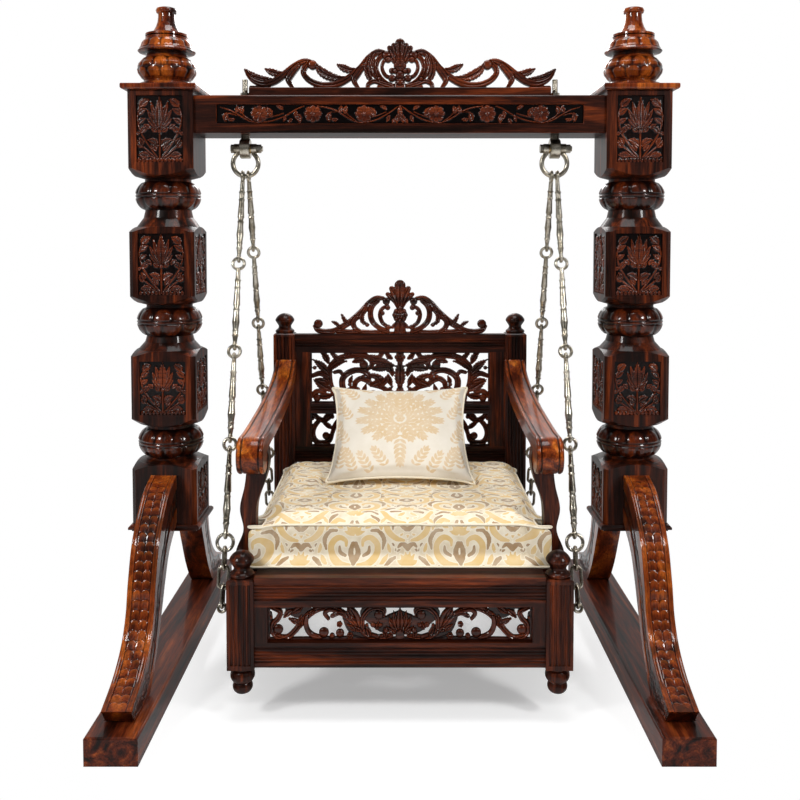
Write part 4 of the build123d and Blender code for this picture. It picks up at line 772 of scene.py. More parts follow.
# ---------------- posts
@dataclass
class Posts:
    """The two posts: square blocks with sunk carved panels, petalled bulbs between them, and finials."""

    spacing: float = 1376.0
    half: float = 94.0
    bottom: float = 420.0
    blocks: tuple[float, ...] = (162, 184, 187, 223)
    turnings: tuple[float, ...] = (147, 174, 183)
    panel_half: float = 66.7
    panel_heights: tuple[float, ...] = (139.4, 155.4, 177.4, 189.4)
    sunk: float = 5.0
    backing: float = 0.9  # thickness of a panel under its ground
    carving_height: float = 4.6
    pitch: float = 1.7
    bulb_radius: float = 92.5
    bulb_height: float = 84.0
    neck: float = 67.0
    finial_base: float = 1697.0
    finial_height: float = 236.0

    def design(self, height: float) -> Carving:
        """The palmette between two budding stems that fills a panel of a given height."""
        carving = Carving((-self.panel_half, 0), (self.panel_half, height), self.pitch, self.carving_height,
                          solid=True, bold=2.0)
        k = height / 190.0
        stems = [
            Ribbon(tuple((x, y * k, width) for x, y, width in points), ROUND, rise)
            for rise, points in (
                (0.8, ((0, 3, 2.5), (-22, 34, 3.2), (-48, 73, 3.4), (-61, 108, 3.2), (-62, 140, 2.8),
                       (-50, 164, 2.4))),
                (0.7, ((0, 3, 2.5), (-30, 28, 3), (-50, 46, 2.4))),
                (0.7, ((0, 4, 2.4), (-24, 15, 3), (-38, 19, 2.4))))]
        buds = [
            leaf(x, y * k, length * k, *rest) for x, y, length, *rest in (
                (-54, 160, 32, 21, 52, -40, 7), (-60, 136, 28, 15, 48, -30), (-60, 112, 22, 13, 40, -20),
                (-52, 84, 26, 15, 62, -50), (-50, 44, 22, 14, 150, -60), (-48, 52, 20, 11, 110, 30),
                (-32, 18, 30, 20, 168, 20, 7), (-58, 84, 16, 9, 200, 20), (-12, 34, 20, 13, 118, 40),
                (-6, 48, 34, 19, 128, 60, 8), (-10, 88, 16, 11, 150, -20), (-30, 96, 18, 12, 128, 30),
                (-3, 98, 40, 14, 148, -14), (-3, 100, 58, 15, 128, -12), (-2, 102, 72, 14, 111, -8))]
        heart = [leaf(0, 97 * k, 90 * k, 25, 90, tooth=9), leaf(0, 4 * k, 92 * k, 5, 90, section=ROUND)]
        border = [leaf(-self.panel_half + 7 + 11 * n, 0.5, 11, 9, 90, section=ROUND, rise=0.8)
                  for n in range(6)]
        carving.add_all(stems + buds + border)
        carving.add_all(heart + [Knob(0, 88 * k, 6)], mirror=False)
        punched = np.sin(carving.x * 2.1) * np.sin(carving.y * 2.3)
        carving.rise += np.where(carving.rise < 0.4, 0.25 * punched, 0)
        return carving

    def panels(self, side: int) -> list[Mesh]:
        """The carved panels of one post."""
        made = []
        level = self.bottom
        for index, block in enumerate(self.blocks):
            design = self.design(self.panel_heights[index])
            headings = {0: (90, 270), 3: (0, 180)}.get(index, (0, 90, 180, 270))
            for heading in headings:
                sine, cosine = math.sin(math.radians(heading)), math.cos(math.radians(heading))
                ground = self.half - self.sunk + self.backing + 0.05
                origin = (side * self.spacing / 2 + sine * ground, -cosine * ground,
                          level + block / 2 - self.panel_heights[index] / 2)
                face = Face(origin, (cosine, sine, 0), (0, 0, 1), (sine, -cosine, 0))
                made.append(tile(design, face, self.backing))
            if index < len(self.turnings):
                level += block + self.turnings[index]
        return made

    def bulb(self, side: int, low: float) -> Mesh:
        """The petalled skin of one bulb.

        Args:
            side: Which post.
            low: The bulb's lower edge.

        Returns:
            Its mesh.
        """
        high = low + self.bulb_height
        middle = (low + high) / 2
        sag = self.bulb_radius - self.neck
        arc = ((self.bulb_height / 2) ** 2 + sag**2) / (2 * sag)
        outline = [(self.neck - 4, low + 1)]
        for n in range(25):
            z = low + 1 + (self.bulb_height - 2) * n / 24
            outline.append((self.bulb_radius - arc + math.sqrt(arc**2 - (z - middle) ** 2) + 0.4, z))
        outline.append((self.neck - 4, high - 1))

        def carve(turn: Array, level: Array) -> tuple[Array, Array]:
            """Petals above and below a bead round the middle."""
            share = (level - middle) / (self.bulb_height / 2)
            upper = share > 0
            place = np.mod(turn * 10 / (2 * math.pi) + np.where(upper, 0.0, 0.5), 1.0) * 2 - 1
            reach = np.abs(share)
            width = 0.93 * np.sqrt(np.clip(1 - np.clip((reach - 0.45) / 0.5, 0, 1) ** 2.4, 0, 1))
            petal = np.clip((width - np.abs(place)) * 5, 0, 1) * np.clip((reach - 0.13) * 14, 0, 1)
            rib = np.exp(-(place / 0.1) ** 2) * np.clip((reach - 0.2) * 6, 0, 1)
            bead = np.exp(-((share / 0.07) ** 2))
            extra = 3.2 * petal * (1 - 0.35 * place**2) - 0.9 * rib + 2.0 * bead
            # painted shade with staining in the gaps between petals, a painted highlight with wear on the
            # petals and the bead
            return extra, np.clip(0.85 - petal - bead, -0.25, 0.85) + 0.4 * rib * petal

        return turned(outline, (side * self.spacing / 2, 0), 160, carve)

    def finial(self, side: int) -> Mesh:
        """One finial: petalled bulb, petalled brim, two rings, a bell neck and a rolled lip."""
        shape = ((84, 0), (85, 6), (80, 11), (67, 14), (65, 19), (72, 28), (82, 42), (84.5, 55), (81, 68),
                 (72, 79), (65, 86), (59, 91), (57, 100), (60, 102), (81, 104), (83.5, 107), (79, 112),
                 (74, 119), (70, 131), (63, 140), (61, 141), (61, 147), (57, 149), (61, 151), (61, 157),
                 (54, 159), (43, 161), (37, 168), (31, 179), (26, 193), (24, 208), (24, 217), (29, 221),
                 (30.5, 227), (28, 233), (20, 236), (0.5, 236))
        scale = self.finial_height / 236.0
        outline = [(r, self.finial_base + z * scale) for r, z in shape]

        def carve(turn: Array, level: Array) -> tuple[Array, Array]:
            """Two rows of petals on the bulb and one on the brim."""
            z = (level - self.finial_base) / scale
            extra = np.zeros(turn.shape)
            # painted shade with staining in the grooves, at the foot and between the petals, a painted
            # highlight with wear on the petals
            stain_and_shading = np.where((z > 92) & (z < 103), 0.8, np.where(z < 22, 0.25, 0.0))
            for low, high, count, shift in ((24, 53, 12, 0.0), (57, 84, 12, 0.5), (112, 139, 12, 0.0)):
                share = (z - low) / (high - low)
                within = (share > 0) & (share < 1)
                place = np.mod(turn * count / (2 * math.pi) + shift, 1.0) * 2 - 1
                width = 0.92 * np.sqrt(np.clip(1 - np.clip((share - 0.5) * 1.9, 0, 1) ** 3, 0, 1))
                petal = np.clip((width - np.abs(place)) * 5, 0, 1) * np.clip(share * 9, 0, 1)
                extra += np.where(within, 2.6 * petal * (1 - 0.3 * place**2) - 1.0, 0)
                stain_and_shading = np.where(within, 0.8 * (1 - petal) - 0.3 * petal, stain_and_shading)
            stain_and_shading = np.where(np.abs(z - 55) < 2, 0.7, stain_and_shading)
            stain_and_shading = np.where(np.abs(z - 149) < 1.5, 0.9, stain_and_shading)
            return extra, stain_and_shading

        return turned(outline, (side * self.spacing / 2, 0), 144, carve, step=2.2)

    def make(self, finishes: Finishes) -> None:
        """Build and dress both posts."""
        for side, hand in hands():
            show(f"post_panels_{hand}", self.panels(side), finishes.carved, Body.STAND)
            bulbs, level = [], self.bottom
            for block, turning in zip(self.blocks, self.turnings):
                level += block + turning
                bulbs.append(self.bulb(side, level - 20 - 15 - self.bulb_height))
            show(f"post_bulbs_{hand}", bulbs, finishes.bulb, Body.STAND)
            show(f"carved_finial_{hand}", [self.finial(side)], finishes.turned, Body.STAND,
                 (f"finial_{hand}",))
            dress(finishes.along_z, f"post_{hand}")
            dress(finishes.turned, f"post_cap_{hand}")
        dress(finishes.along_x, "post_base_mouldings")


# ---------------- legs and rails
@dataclass
class Legs:
    """Four S-curved legs with two rows of carved scales down the front and foliage on the sides."""

    spacing: float = 1376.0
    width: float = 75.0
    front: tuple[Pair, ...] = ((94, 566), (180, 534), (278, 444), (326, 340), (350, 260), (392, 196),
                                              (462, 146), (556, 110))
    back: tuple[Pair, ...] = ((94, 430), (180, 376), (228, 310), (262, 250), (322, 152), (400, 70),
                                             (478, 72), (530, 74))
    scale_pitch: float = 25.0
    column: float = 23.0
    scale_height: float = 3.4
    side_depth: float = 2.2
    vine_half: float = 26.0
    rows: int = 300

    def side_design(self, length: float) -> Carving:
        """A running vine in a strip, for the sides."""
        carving = Carving((0, -1), (length, 1), 2.0, self.side_depth, solid=True)
        carving.up = np.linspace(-self.vine_half, self.vine_half, 30)
        carving.x, carving.y = np.meshgrid(carving.across, carving.up)
        carving.inside = np.full(carving.x.shape, 99.0)
        carving.rise = np.zeros(carving.x.shape)
        wave = [(s, 12 * math.sin(s / 27), 3.4) for s in np.arange(0, length, 13)]
        carving.add(Ribbon(tuple(wave), ROUND, 0.8))
        for n in range(int(length / 42)):
            s = 20 + n * 42
            up = 1 if n % 2 else -1
            carving.add(leaf(s, -8 * up, 34, 14, 50 * up, -50 * up, tooth=7))
            carving.add(leaf(s + 14, 9 * up, 26, 11, -40 * up, 60 * up))
            carving.add(Knob(s + 31, 15 * up, 5))
        return carving

    def loft(self, side: int, end: int) -> Mesh:
        """One leg: a ring of points round each cross-section, carved on three faces.

        Args:
            side: Left or right.
            end: Front or rear.

        Returns:
            Its mesh.
        """
        share = np.linspace(0, 1, self.rows)
        edges = []
        for path in (smooth(self.front, 1.0), smooth(self.back, 1.0)):
            spread = np.linspace(0, 1, len(path))
            edges.append(np.stack([np.interp(share, spread, path[:, n]) for n in (0, 1)], axis=1))
        outer, inner = edges
        reach = travelled(outer)
        length = reach[-1]
        run = np.gradient(outer, axis=0)
        run /= np.hypot(*run.T)[:, None]
        normal = np.stack([-run[:, 1], run[:, 0]], axis=1)
        depth = inner - outer
        normal *= -np.sign((normal * depth).sum(1))[:, None]
        vine = self.side_design(length)
        half = self.width / 2
        across = np.linspace(-half, half, 46)
        down = np.linspace(0, 1, 26)[1:-1]
        level = reach[:, None] + np.zeros(len(across))
        place = np.abs(across)[None, :] + np.zeros((self.rows, 1))
        # front face: two columns of overlapping round-topped scales between smooth rims
        local = np.abs(place - self.column / 2) / (self.column / 2)
        bow = 0.42 * self.column * (1 - np.sqrt(np.clip(1 - local**2, 0, 1)))
        phase = np.mod((level - bow - 34) / self.scale_pitch, 1.0)
        scale = (1 - 0.62 * phase) * np.clip(phase * 9, 0, 1) * np.clip((1 - local) * 7, 0, 1) ** 0.5
        field_ = (place < self.column) & (level > 34) & (level < length - 24)
        rim = np.exp(-((place - self.column - 2.6) / 1.6) ** 2) + np.exp(-((place - half + 3.2) / 1.8) ** 2)
        rise = np.where(field_, self.scale_height * scale - 2.4, 1.1 * np.clip(rim, 0, 1))
        rise = np.where(place > half - 1.4, -0.8, rise)
        # painted shade with staining darkens each scale's low end and the groove by the columns; the rims get
        # a painted highlight with wear
        stain_and_shading = np.where(field_, np.clip(0.95 - 1.5 * scale, -0.5, 0.95), -0.25 * np.clip(rim, 0, 1) - 0.1)
        stain_and_shading = np.where((np.abs(place - self.column) < 1.2), 0.6, stain_and_shading)
        rings, shades = [], []
        x = side * self.spacing / 2
        out3 = np.stack([np.zeros(self.rows), end * normal[:, 0], normal[:, 1]], axis=1)
        for n, a in enumerate(across):
            base = np.stack([np.full(self.rows, x + a), end * outer[:, 0], outer[:, 1]], axis=1)
            rings.append(base + out3 * rise[:, n][:, None])
            shades.append(stain_and_shading[:, n])
        for edge, order in ((1, down), (-1, down[::-1])):
            if edge == -1:
                for a in np.linspace(half, -half, 6):
                    rings.append(np.column_stack([np.full(self.rows, x + a), end * inner[:, 0], inner[:, 1]]))
                    shades.append(np.full(self.rows, 0.3))
            for t in order:
                spot = outer + depth * t
                broad = np.hypot(*depth.T)
                offset = (t - 0.5) * broad
                clear = np.minimum(t, 1 - t) * broad
                _, high = vine.sample(reach, np.clip(offset, -self.vine_half, self.vine_half))
                sunk = np.where((clear > 7) & (np.abs(offset) < self.vine_half), high - self.side_depth, 0.0)
                rings.append(np.column_stack([x + edge * (half + sunk), end * spot[:, 0], spot[:, 1]]))
                # painted shade with staining darkens the sunk ground round the vine
                shades.append(np.where(sunk < 0, np.clip(-sunk / self.side_depth, 0, 0.9), 0.0))
        points = np.stack(rings, axis=1).reshape(-1, 3) * MM
        faces = [face[::-end] for face in lattice(self.rows, len(rings))]
        return points, faces, np.stack(shades, axis=1).ravel()

    def make(self, finishes: Finishes) -> None:
        """Build the legs and dress the rails and bolts."""
        for side, hand in hands():
            for end, place in ((-1, "front"), (1, "rear")):
                show(f"carved_leg_{place}_{hand}", [self.loft(side, end)], finishes.turned, Body.STAND,
                     (f"leg_{place}_{hand}",))
            dress(finishes.along_y, f"base_rail_{hand}")
        dress(finishes.nickel, "leg_bolts")


# ---------------- beam
@dataclass
class Beam:
    """The top beam with a vine carved in its sunk frieze, and the openwork crest that stands on it."""

    frieze_half: float = 529.5
    frieze_height: float = 56.4
    frieze_middle: float = 1613.0
    depth: float = 150.0
    sunk: float = 5.0
    carving_height: float = 4.4
    strip_top: float = 1697.0
    crest_thickness: float = 30.0
    crest_rise: float = 7.5

    def frieze(self) -> Carving:
        """The running vine with eight-petalled flowers, mirrored about a drop."""
        carving = Carving((-self.frieze_half, 0), (self.frieze_half, self.frieze_height), 1.6,
                          self.carving_height, solid=True)
        stems = marks(
            Ribbon, (((-518, 48, 2.4), (-492, 40, 3.2), (-464, 25, 3.6), (-440, 11, 3.6), (-420, 5, 3.4),
              (-392, 5, 3.2), (-369, 9, 3.6), (-344, 17, 3.6), (-321, 28, 3.6), (-298, 42, 3.2),
              (-277, 51, 2.6)),),
            (((-238, 51, 2.6), (-206, 46, 3.4), (-178, 35, 3.6), (-148, 16, 3.6), (-122, 5, 3.4),
              (-96, 5, 3.2), (-71, 11, 3.6), (-48, 22, 3.6), (-28, 34, 3.2), (-6, 50, 2.4)),),
            (((-420, 5, 2.4), (-448, 22, 3), (-456, 38, 2.4)),),
            (((-122, 5, 2.4), (-148, 24, 3), (-156, 38, 2.4)),),
            (((-392, 18, 2.2), (-366, 21, 3), (-336, 30, 2.4)),),
            (((-94, 18, 2.2), (-70, 22, 3), (-40, 34, 2.4)),),
            (((-470, 24, 2.4), (-492, 30, 3), (-506, 24, 2.6)),),
            (((-180, 34, 2.4), (-200, 33, 3), (-210, 26, 2.6)),))
        leaves = []
        for shift in (0.0, 298.0):
            leaves += marks(
                leaf, (-500 + shift, 30, 26, 17, 245, 60, 8), (-478 + shift, 14, 20, 11, 200, -60),
                (-472 + shift, 34, 20, 13, 62, 40), (-454 + shift, 30, 24, 15, 112, -80, 8),
                (-372 + shift, 22, 30, 17, 100, 45, 8), (-338 + shift, 42, 22, 10, 130, 60),
                (-330 + shift, 24, 20, 10, 262, -30), (-300 + shift, 36, 26, 12, 268, 30),
                (-292 + shift, 26, 26, 14, 290, -40, 8), (-312 + shift, 14, 16, 9, 220, 40))
        flowers = marks(
            Knob, (-405, 29, 25, 8), (-251, 29, 25, 8), (-104, 29, 25, 8))
        carving.add_all(stems + leaves + flowers)
        carving.add_all([leaf(0, 52, 44, 14, 270, tooth=8), Knob(0, 50, 4)], mirror=False)
        carving.frame(1.4, 4.2)
        return carving

    def crest(self) -> Carving:
        """Two scrolling waves of acanthus on each side, rising to a palmette over a flower."""
        carving = Carving((-459, 0), (459, 147), 1.5, self.crest_rise, bold=1.5)
        blocks = marks(
            Ribbon, (((-440, 3, 9), (-386, 3, 9)), FLAT, 0.6), (((-250, 3, 9), (-196, 3, 9)), FLAT, 0.6),
            (((-62, 4, 12), (0, 4, 12)), FLAT, 0.7))
        cups = marks(
            Ribbon,
            (((-456, 54, 8), (-443, 41, 21), (-424, 32, 22), (-402, 27, 18), (-380, 27, 8)), LEAF, 0.8, 9),
            (((-396, 56, 6), (-380, 49, 20), (-358, 43, 18), (-336, 45, 8)), LEAF, 0.85, 10),
            (((-246, 70, 8), (-234, 52, 25), (-213, 38, 27), (-190, 31, 21), (-166, 32, 9)), LEAF, 0.85, 9),
            (((-184, 69, 6), (-168, 61, 21), (-148, 54, 18), (-126, 56, 8)), LEAF, 0.85, 10))
        strokes = marks(
            Ribbon, (((-454, 48, 5), (-444, 32, 9), (-428, 20, 13), (-402, 13, 16), (-373, 20, 18),
              (-343, 40, 18), (-314, 63, 17), (-289, 77, 16), (-270, 79, 14), (-256, 71, 11)), GROOVED),
            (((-300, 66, 14), (-318, 46, 18), (-329, 26, 17), (-318, 4, 10), (-308, -6, 8)), GROOVED, 0.9),
            (((-262, 76, 10), (-280, 62, 14), (-284, 45, 16), (-270, 26, 16), (-244, 13, 17), (-213, 9, 18),
              (-180, 15, 19), (-148, 33, 18), (-117, 59, 17), (-92, 88, 18), (-66, 106, 17),
              (-44, 103, 13)), GROOVED),
            (((-108, 66, 14), (-124, 44, 18), (-135, 24, 16), (-126, 6, 10), (-116, -6, 8)), GROOVED, 0.9),
            (((-90, 92, 12), (-97, 62, 20), (-92, 36, 18), (-82, 20, 9)), LEAF, 0.95, 11),
            (((-76, 98, 8), (-82, 70, 13), (-78, 44, 12), (-66, 26, 8)), GROOVED, 0.8),
            (((-46, 100, 11), (-64, 84, 12), (-70, 60, 12), (-60, 34, 13), (-40, 15, 13),
              (-14, 5, 13)), GROOVED),
            (((-36, 88, 8), (-50, 76, 9), (-52, 56, 10), (-42, 38, 10), (-24, 30, 9)), ROUND, 0.85),
            (((-97, -4, 10), (-92, 14, 12), (-74, 21, 12), (-50, 13, 12), (-22, 5, 12)), GROOVED, 0.85))
        balls = marks(
            Knob, (-258, 69, 14), (-40, 97, 13), (-35, 84, 9), (-24, 30, 11), (-24, 52, 9), (-62, 27, 7))
        fan = marks(
            Ribbon, (((-8, 66, 8), (-19, 82, 12), (-33, 95, 15), (-44, 102, 11)), LEAF, 0.85),
            (((-6, 68, 8), (-13, 86, 13), (-23, 106, 18), (-31, 118, 13)), LEAF, 0.9),
            (((-3, 70, 7), (-7, 92, 11), (-14, 114, 16), (-19, 126, 12)), LEAF, 0.95))
        carving.add_all(blocks + cups + strokes + fan + balls)
        middle = [Ribbon(((0, 66, 10), (0, 88, 15), (0, 112, 25), (0, 131, 28)), LEAF),
                  Ribbon(((0, -4, 36), (0, 34, 24)), ROUND, 0.8),
                  Knob(0, 66, 19, 6), Knob(0, 38, 13), Knob(-15, 50, 7), Knob(15, 50, 7), Knob(0, 18, 11)]
        carving.add_all(middle, mirror=False)
        return carving

    def make(self, finishes: Finishes) -> None:
        """Build the frieze on both faces and the crest, and dress the beam."""
        frieze = self.frieze()
        level = self.frieze_middle - self.frieze_height / 2
        ground = self.depth / 2 - self.sunk + 0.9
        faces = (Face((0, -ground, level)), Face((0, ground, level), (-1, 0, 0), (0, 0, 1), (0, 1, 0)))
        show("beam_frieze", [tile(frieze, face, 0.85) for face in faces], finishes.carved,
             Body.STAND)
        between = self.crest_thickness - 2 * self.crest_rise
        crest = board(self.crest(), Face((0, -between / 2, self.strip_top)), between)
        show("carved_beam_crest", [crest], finishes.carved, Body.STAND, ("beam_crest",))
        dress(finishes.along_x, "top_beam", "beam_crest_strip")


# ---------------- seat
@dataclass
class Seat:
    """The swing's wooden frame: reeded rails, fluted posts, pierced panels and the crest of the back."""

    panel_rise: float = 7.0
    panel_thickness: float = 16.0
    pitch: float = 1.5
    rim: float = 5.0
    apron_face: float = -399.0
    apron_base: float = 213.0
    apron_half: float = 342.0
    apron_height: float = 93.5
    back_face: float = 374.0
    back_half: float = 306.0
    upper_base: float = 693.0
    upper_height: float = 175.0
    lower_base: float = 545.0
    lower_height: float = 114.0
    crest_face: float = 370.0
    crest_base: float = 930.0
    crest_rise: float = 6.0
    crest_thickness: float = 24.0

    def apron(self) -> Carving:
        """A vine that scrolls out from a palmette, with buds and balls in its turns."""
        carving = Carving((-self.apron_half, 0), (self.apron_half, self.apron_height), self.pitch,
                          self.panel_rise, bold=1.5)
        under = marks(
            Ribbon, (((-342, 88, 14), (-310, 90, 14), (-240, 92, 10), (-160, 92, 12), (-60, 92, 12),
              (0, 92, 12)), FLAT, 0.2),
            (((-342, 2, 10), (-240, 3, 12), (-120, 3, 16), (-60, 2, 14), (0, 2, 14)), FLAT, 0.2),
            (((-86, 72, 34), (-60, 56, 44), (-40, 40, 40), (-20, 50, 40), (0, 60, 36)), FLAT, 0.2),
            (((-134, 60, 30), (-118, 36, 40), (-96, 22, 34)), FLAT, 0.2),
            (((-286, 80, 22), (-262, 72, 26), (-240, 84, 20)), FLAT, 0.2),
            (((-336, 30, 16), (-338, 70, 12)), FLAT, 0.2))
        strokes = marks(
            Ribbon, (((-331, 86, 9), (-311, 75, 12), (-316, 58, 13), (-328, 44, 13), (-329, 20, 13),
              (-306, 7, 13), (-286, 12, 13), (-261, 39, 14), (-238, 66, 15), (-211, 83, 15), (-182, 87, 13),
              (-158, 78, 11)), GROOVED),
            (((-158, 80, 10), (-125, 58, 12), (-102, 32, 14), (-86, 16, 14), (-57, 8, 13),
              (-23, 13, 10)), GROOVED),
            (((-242, 62, 9), (-244, 40, 12), (-234, 19, 13), (-211, 9, 12), (-198, 20, 9)), ROUND, 0.9),
            (((-160, 75, 9), (-182, 81, 11), (-195, 71, 10), (-186, 57, 8)), ROUND, 0.9),
            (((-176, 64, 9), (-154, 72, 12), (-126, 53, 13), (-107, 32, 10)), GROOVED, 0.9),
            (((-134, 90, 8), (-114, 70, 11), (-103, 40, 10)), ROUND, 0.9),
            (((-97, 36, 9), (-96, 60, 11), (-80, 81, 12), (-59, 87, 12), (-41, 80, 10),
              (-43, 66, 8)), GROOVED, 0.9), (((-86, 40, 7), (-82, 20, 9), (-58, 10, 9)), ROUND, 0.8))
        leaves = marks(
            leaf, (-300, 62, 34, 15, 50, -30, 8), (-276, 74, 30, 15, 30, 10, 8),
            (-258, 42, 34, 14, 150, 10, 8), (-262, 50, 18, 9, 60, 20), (-222, 80, 18, 10, 210, 30),
            (-122, 60, 32, 15, 128, -30, 8), (-100, 26, 26, 12, 165, -40, 7), (-78, 12, 26, 12, 100, 30, 7),
            (-118, 26, 24, 13, 130, 20, 7), (-62, 30, 20, 10, 60, 30), (-36, 10, 24, 11, 110, -20),
            (-8, 26, 42, 15, 128, -20, 8), (-5, 28, 50, 15, 108, -10, 8), (-12, 18, 30, 12, 150, -20, 7))
        balls = marks(
            Knob, (-316, 29, 13), (-197.5, 21, 13), (-155.6, 19, 11), (-157, 42, 8, 5), (-129.5, 13, 9, 6),
            (-55, 67, 12), (-70, 41, 7), (-51, 41, 6), (-37, 27, 7), (-176, 12, 7), (-336, 60, 6))
        carving.add_all(under + strokes + leaves + balls)
        carving.add_all([leaf(0, 24, 66, 18, 90, tooth=10), Ribbon(((0, 0, 26), (0, 20, 18)), ROUND, 0.7)],
                        mirror=False)
        carving.frame(self.rim, 2.0)
        return carving

    def upper(self) -> Carving:
        """Two nested scrolls on each side of a leaf and a flower, with serrated leaves out to the frame."""
        carving = Carving((-self.back_half, 0), (self.back_half, self.upper_height), self.pitch,
                          self.panel_rise, bold=5.0)
        strokes = marks(
            Ribbon, (((-160, 8, 12), (-196, 12, 15), (-222, 30, 16), (-236, 54, 16), (-242, 84, 16),
              (-241, 114, 16), (-227, 137, 16), (-205, 153, 16), (-171, 161, 16), (-141, 161, 16),
              (-114, 158, 15), (-97, 143, 14), (-98, 126, 12), (-112, 115, 9)), GROOVED),
            (((-130, 28, 10), (-160, 26, 13), (-186, 36, 15), (-197, 56, 17), (-196, 82, 17), (-177, 102, 17),
              (-146, 112, 16), (-118, 105, 15), (-105, 88, 13), (-113, 74, 9)), GROOVED),
            (((-155, 48, 10), (-153, 68, 14), (-136, 82, 14), (-114, 76, 14), (-96, 63, 14), (-66, 54, 13),
              (-40, 40, 11), (-16, 30, 9)), GROOVED, 0.9),
            (((-160, 8, 10), (-124, 14, 13), (-100, 32, 13), (-80, 30, 12), (-50, 10, 11)), ROUND, 0.9),
            (((-224, 104, 8), (-207, 107, 10), (-197, 97, 8)), ROUND, 0.8),
            (((-298, 22, 9), (-288, 37, 13), (-268, 38, 12), (-256, 30, 8)), ROUND, 0.9),
            (((-300, 92, 10), (-273, 100, 14), (-248, 86, 10)), GROOVED, 0.8),
            (((-60, 172, 12), (-72, 150, 13), (-60, 132, 12), (-36, 122, 9)), GROOVED, 0.85))
        leaves = marks(
            leaf, (-248, 104, 66, 24, 130, 20, 9), (-246, 138, 46, 20, 108, 40, 9),
            (-240, 112, 68, 16, 48, -50, 9), (-238, 44, 68, 30, 152, -8, 10), (-234, 26, 56, 20, 196, -30, 9),
            (-250, 70, 40, 14, 160, 10), (-186, 160, 34, 15, 40, 30, 8), (-160, 140, 40, 16, 20, -30, 8),
            (-100, 160, 60, 22, -30, 40, 9), (-96, 142, 84, 24, -6, -14, 9), (-92, 116, 68, 22, 8, -14, 9),
            (-100, 96, 62, 20, -20, -10, 9), (-100, 58, 44, 17, 30, -20, 8), (-64, 58, 46, 17, 50, 20, 8),
            (-60, 28, 44, 17, 30, 20, 8), (-186, 40, 44, 15, 12, 40, 8), (-226, 22, 36, 16, 300, 30, 8),
            (-214, 150, 30, 14, 130, 30, 8), (-30, 60, 40, 16, 110, -10, 8), (-26, 94, 34, 15, 100, 10, 8),
            (-128, 34, 30, 12, 60, 20), (-172, 66, 26, 11, 80, -20), (-28, 152, 28, 15, 150, -20, 7))
        balls = marks(
            Knob, (-124, 130, 15), (-284, 16, 13), (-126, 88, 8), (-146, 44, 10), (-172, 62, 7),
            (-40, 112, 8), (-292, 120, 7), (-66, 84, 8))
        carving.add_all(strokes + leaves + balls)
        middle = [leaf(0, 4, 56, 36, 90, tooth=10), leaf(0, 56, 96, 36, 90, tooth=11), Knob(0, 156, 19, 6),
                  Knob(0, 56, 9)]
        carving.add_all(middle, mirror=False)
        carving.frame(self.rim, 3.0)
        return carving

    def lower(self) -> Carving:
        """Scrolls that end in balls, growing out of a middle leaf."""
        carving = Carving((-self.back_half, 0), (self.back_half, self.lower_height), self.pitch,
                          self.panel_rise, bold=4.0)
        strokes = marks(
            Ribbon, (((-298, 108, 12), (-278, 92, 14), (-257, 87, 14), (-234, 104, 11)), GROOVED),
            (((-276, 88, 12), (-295, 62, 15), (-299, 36, 15), (-288, 14, 15), (-264, 9, 15), (-242, 17, 14),
              (-232, 43, 11)), GROOVED),
            (((-232, 43, 11), (-222, 70, 14), (-204, 90, 15), (-178, 98, 15), (-150, 90, 15), (-134, 68, 14),
              (-144, 44, 10)), GROOVED),
            (((-214, 6, 12), (-204, 36, 14), (-186, 60, 13), (-170, 70, 9)), ROUND, 0.9),
            (((-128, 6, 12), (-98, 26, 14), (-82, 54, 15), (-60, 82, 14), (-28, 98, 10)), GROOVED),
            (((-92, 18, 11), (-62, 32, 13), (-38, 20, 9)), ROUND, 0.9),
            (((-134, 66, 12), (-112, 84, 13), (-92, 104, 10)), ROUND, 0.9))
        leaves = marks(
            leaf, (-262, 92, 38, 18, 30, 20, 8), (-236, 60, 34, 15, 140, 20, 8),
            (-216, 20, 40, 16, 40, -40, 8), (-170, 8, 44, 18, 30, 30, 8), (-118, 36, 34, 15, 120, 20, 8),
            (-74, 62, 40, 17, -10, 30, 8), (-40, 40, 40, 16, 80, 20, 8), (-28, 8, 40, 16, 120, -20, 8),
            (-60, 100, 36, 16, -10, -10, 8), (-206, 106, 36, 14, 0, -20, 8))
        balls = marks(
            Knob, (-254, 33, 13), (-162, 44, 12), (-232, 98, 7), (-300, 92, 6))
        carving.add_all(strokes + leaves + balls)
        carving.add_all([leaf(0, 4, 104, 38, 90, tooth=11), Knob(0, 30, 9)], mirror=False)
        carving.frame(self.rim, 3.0)
        return carving

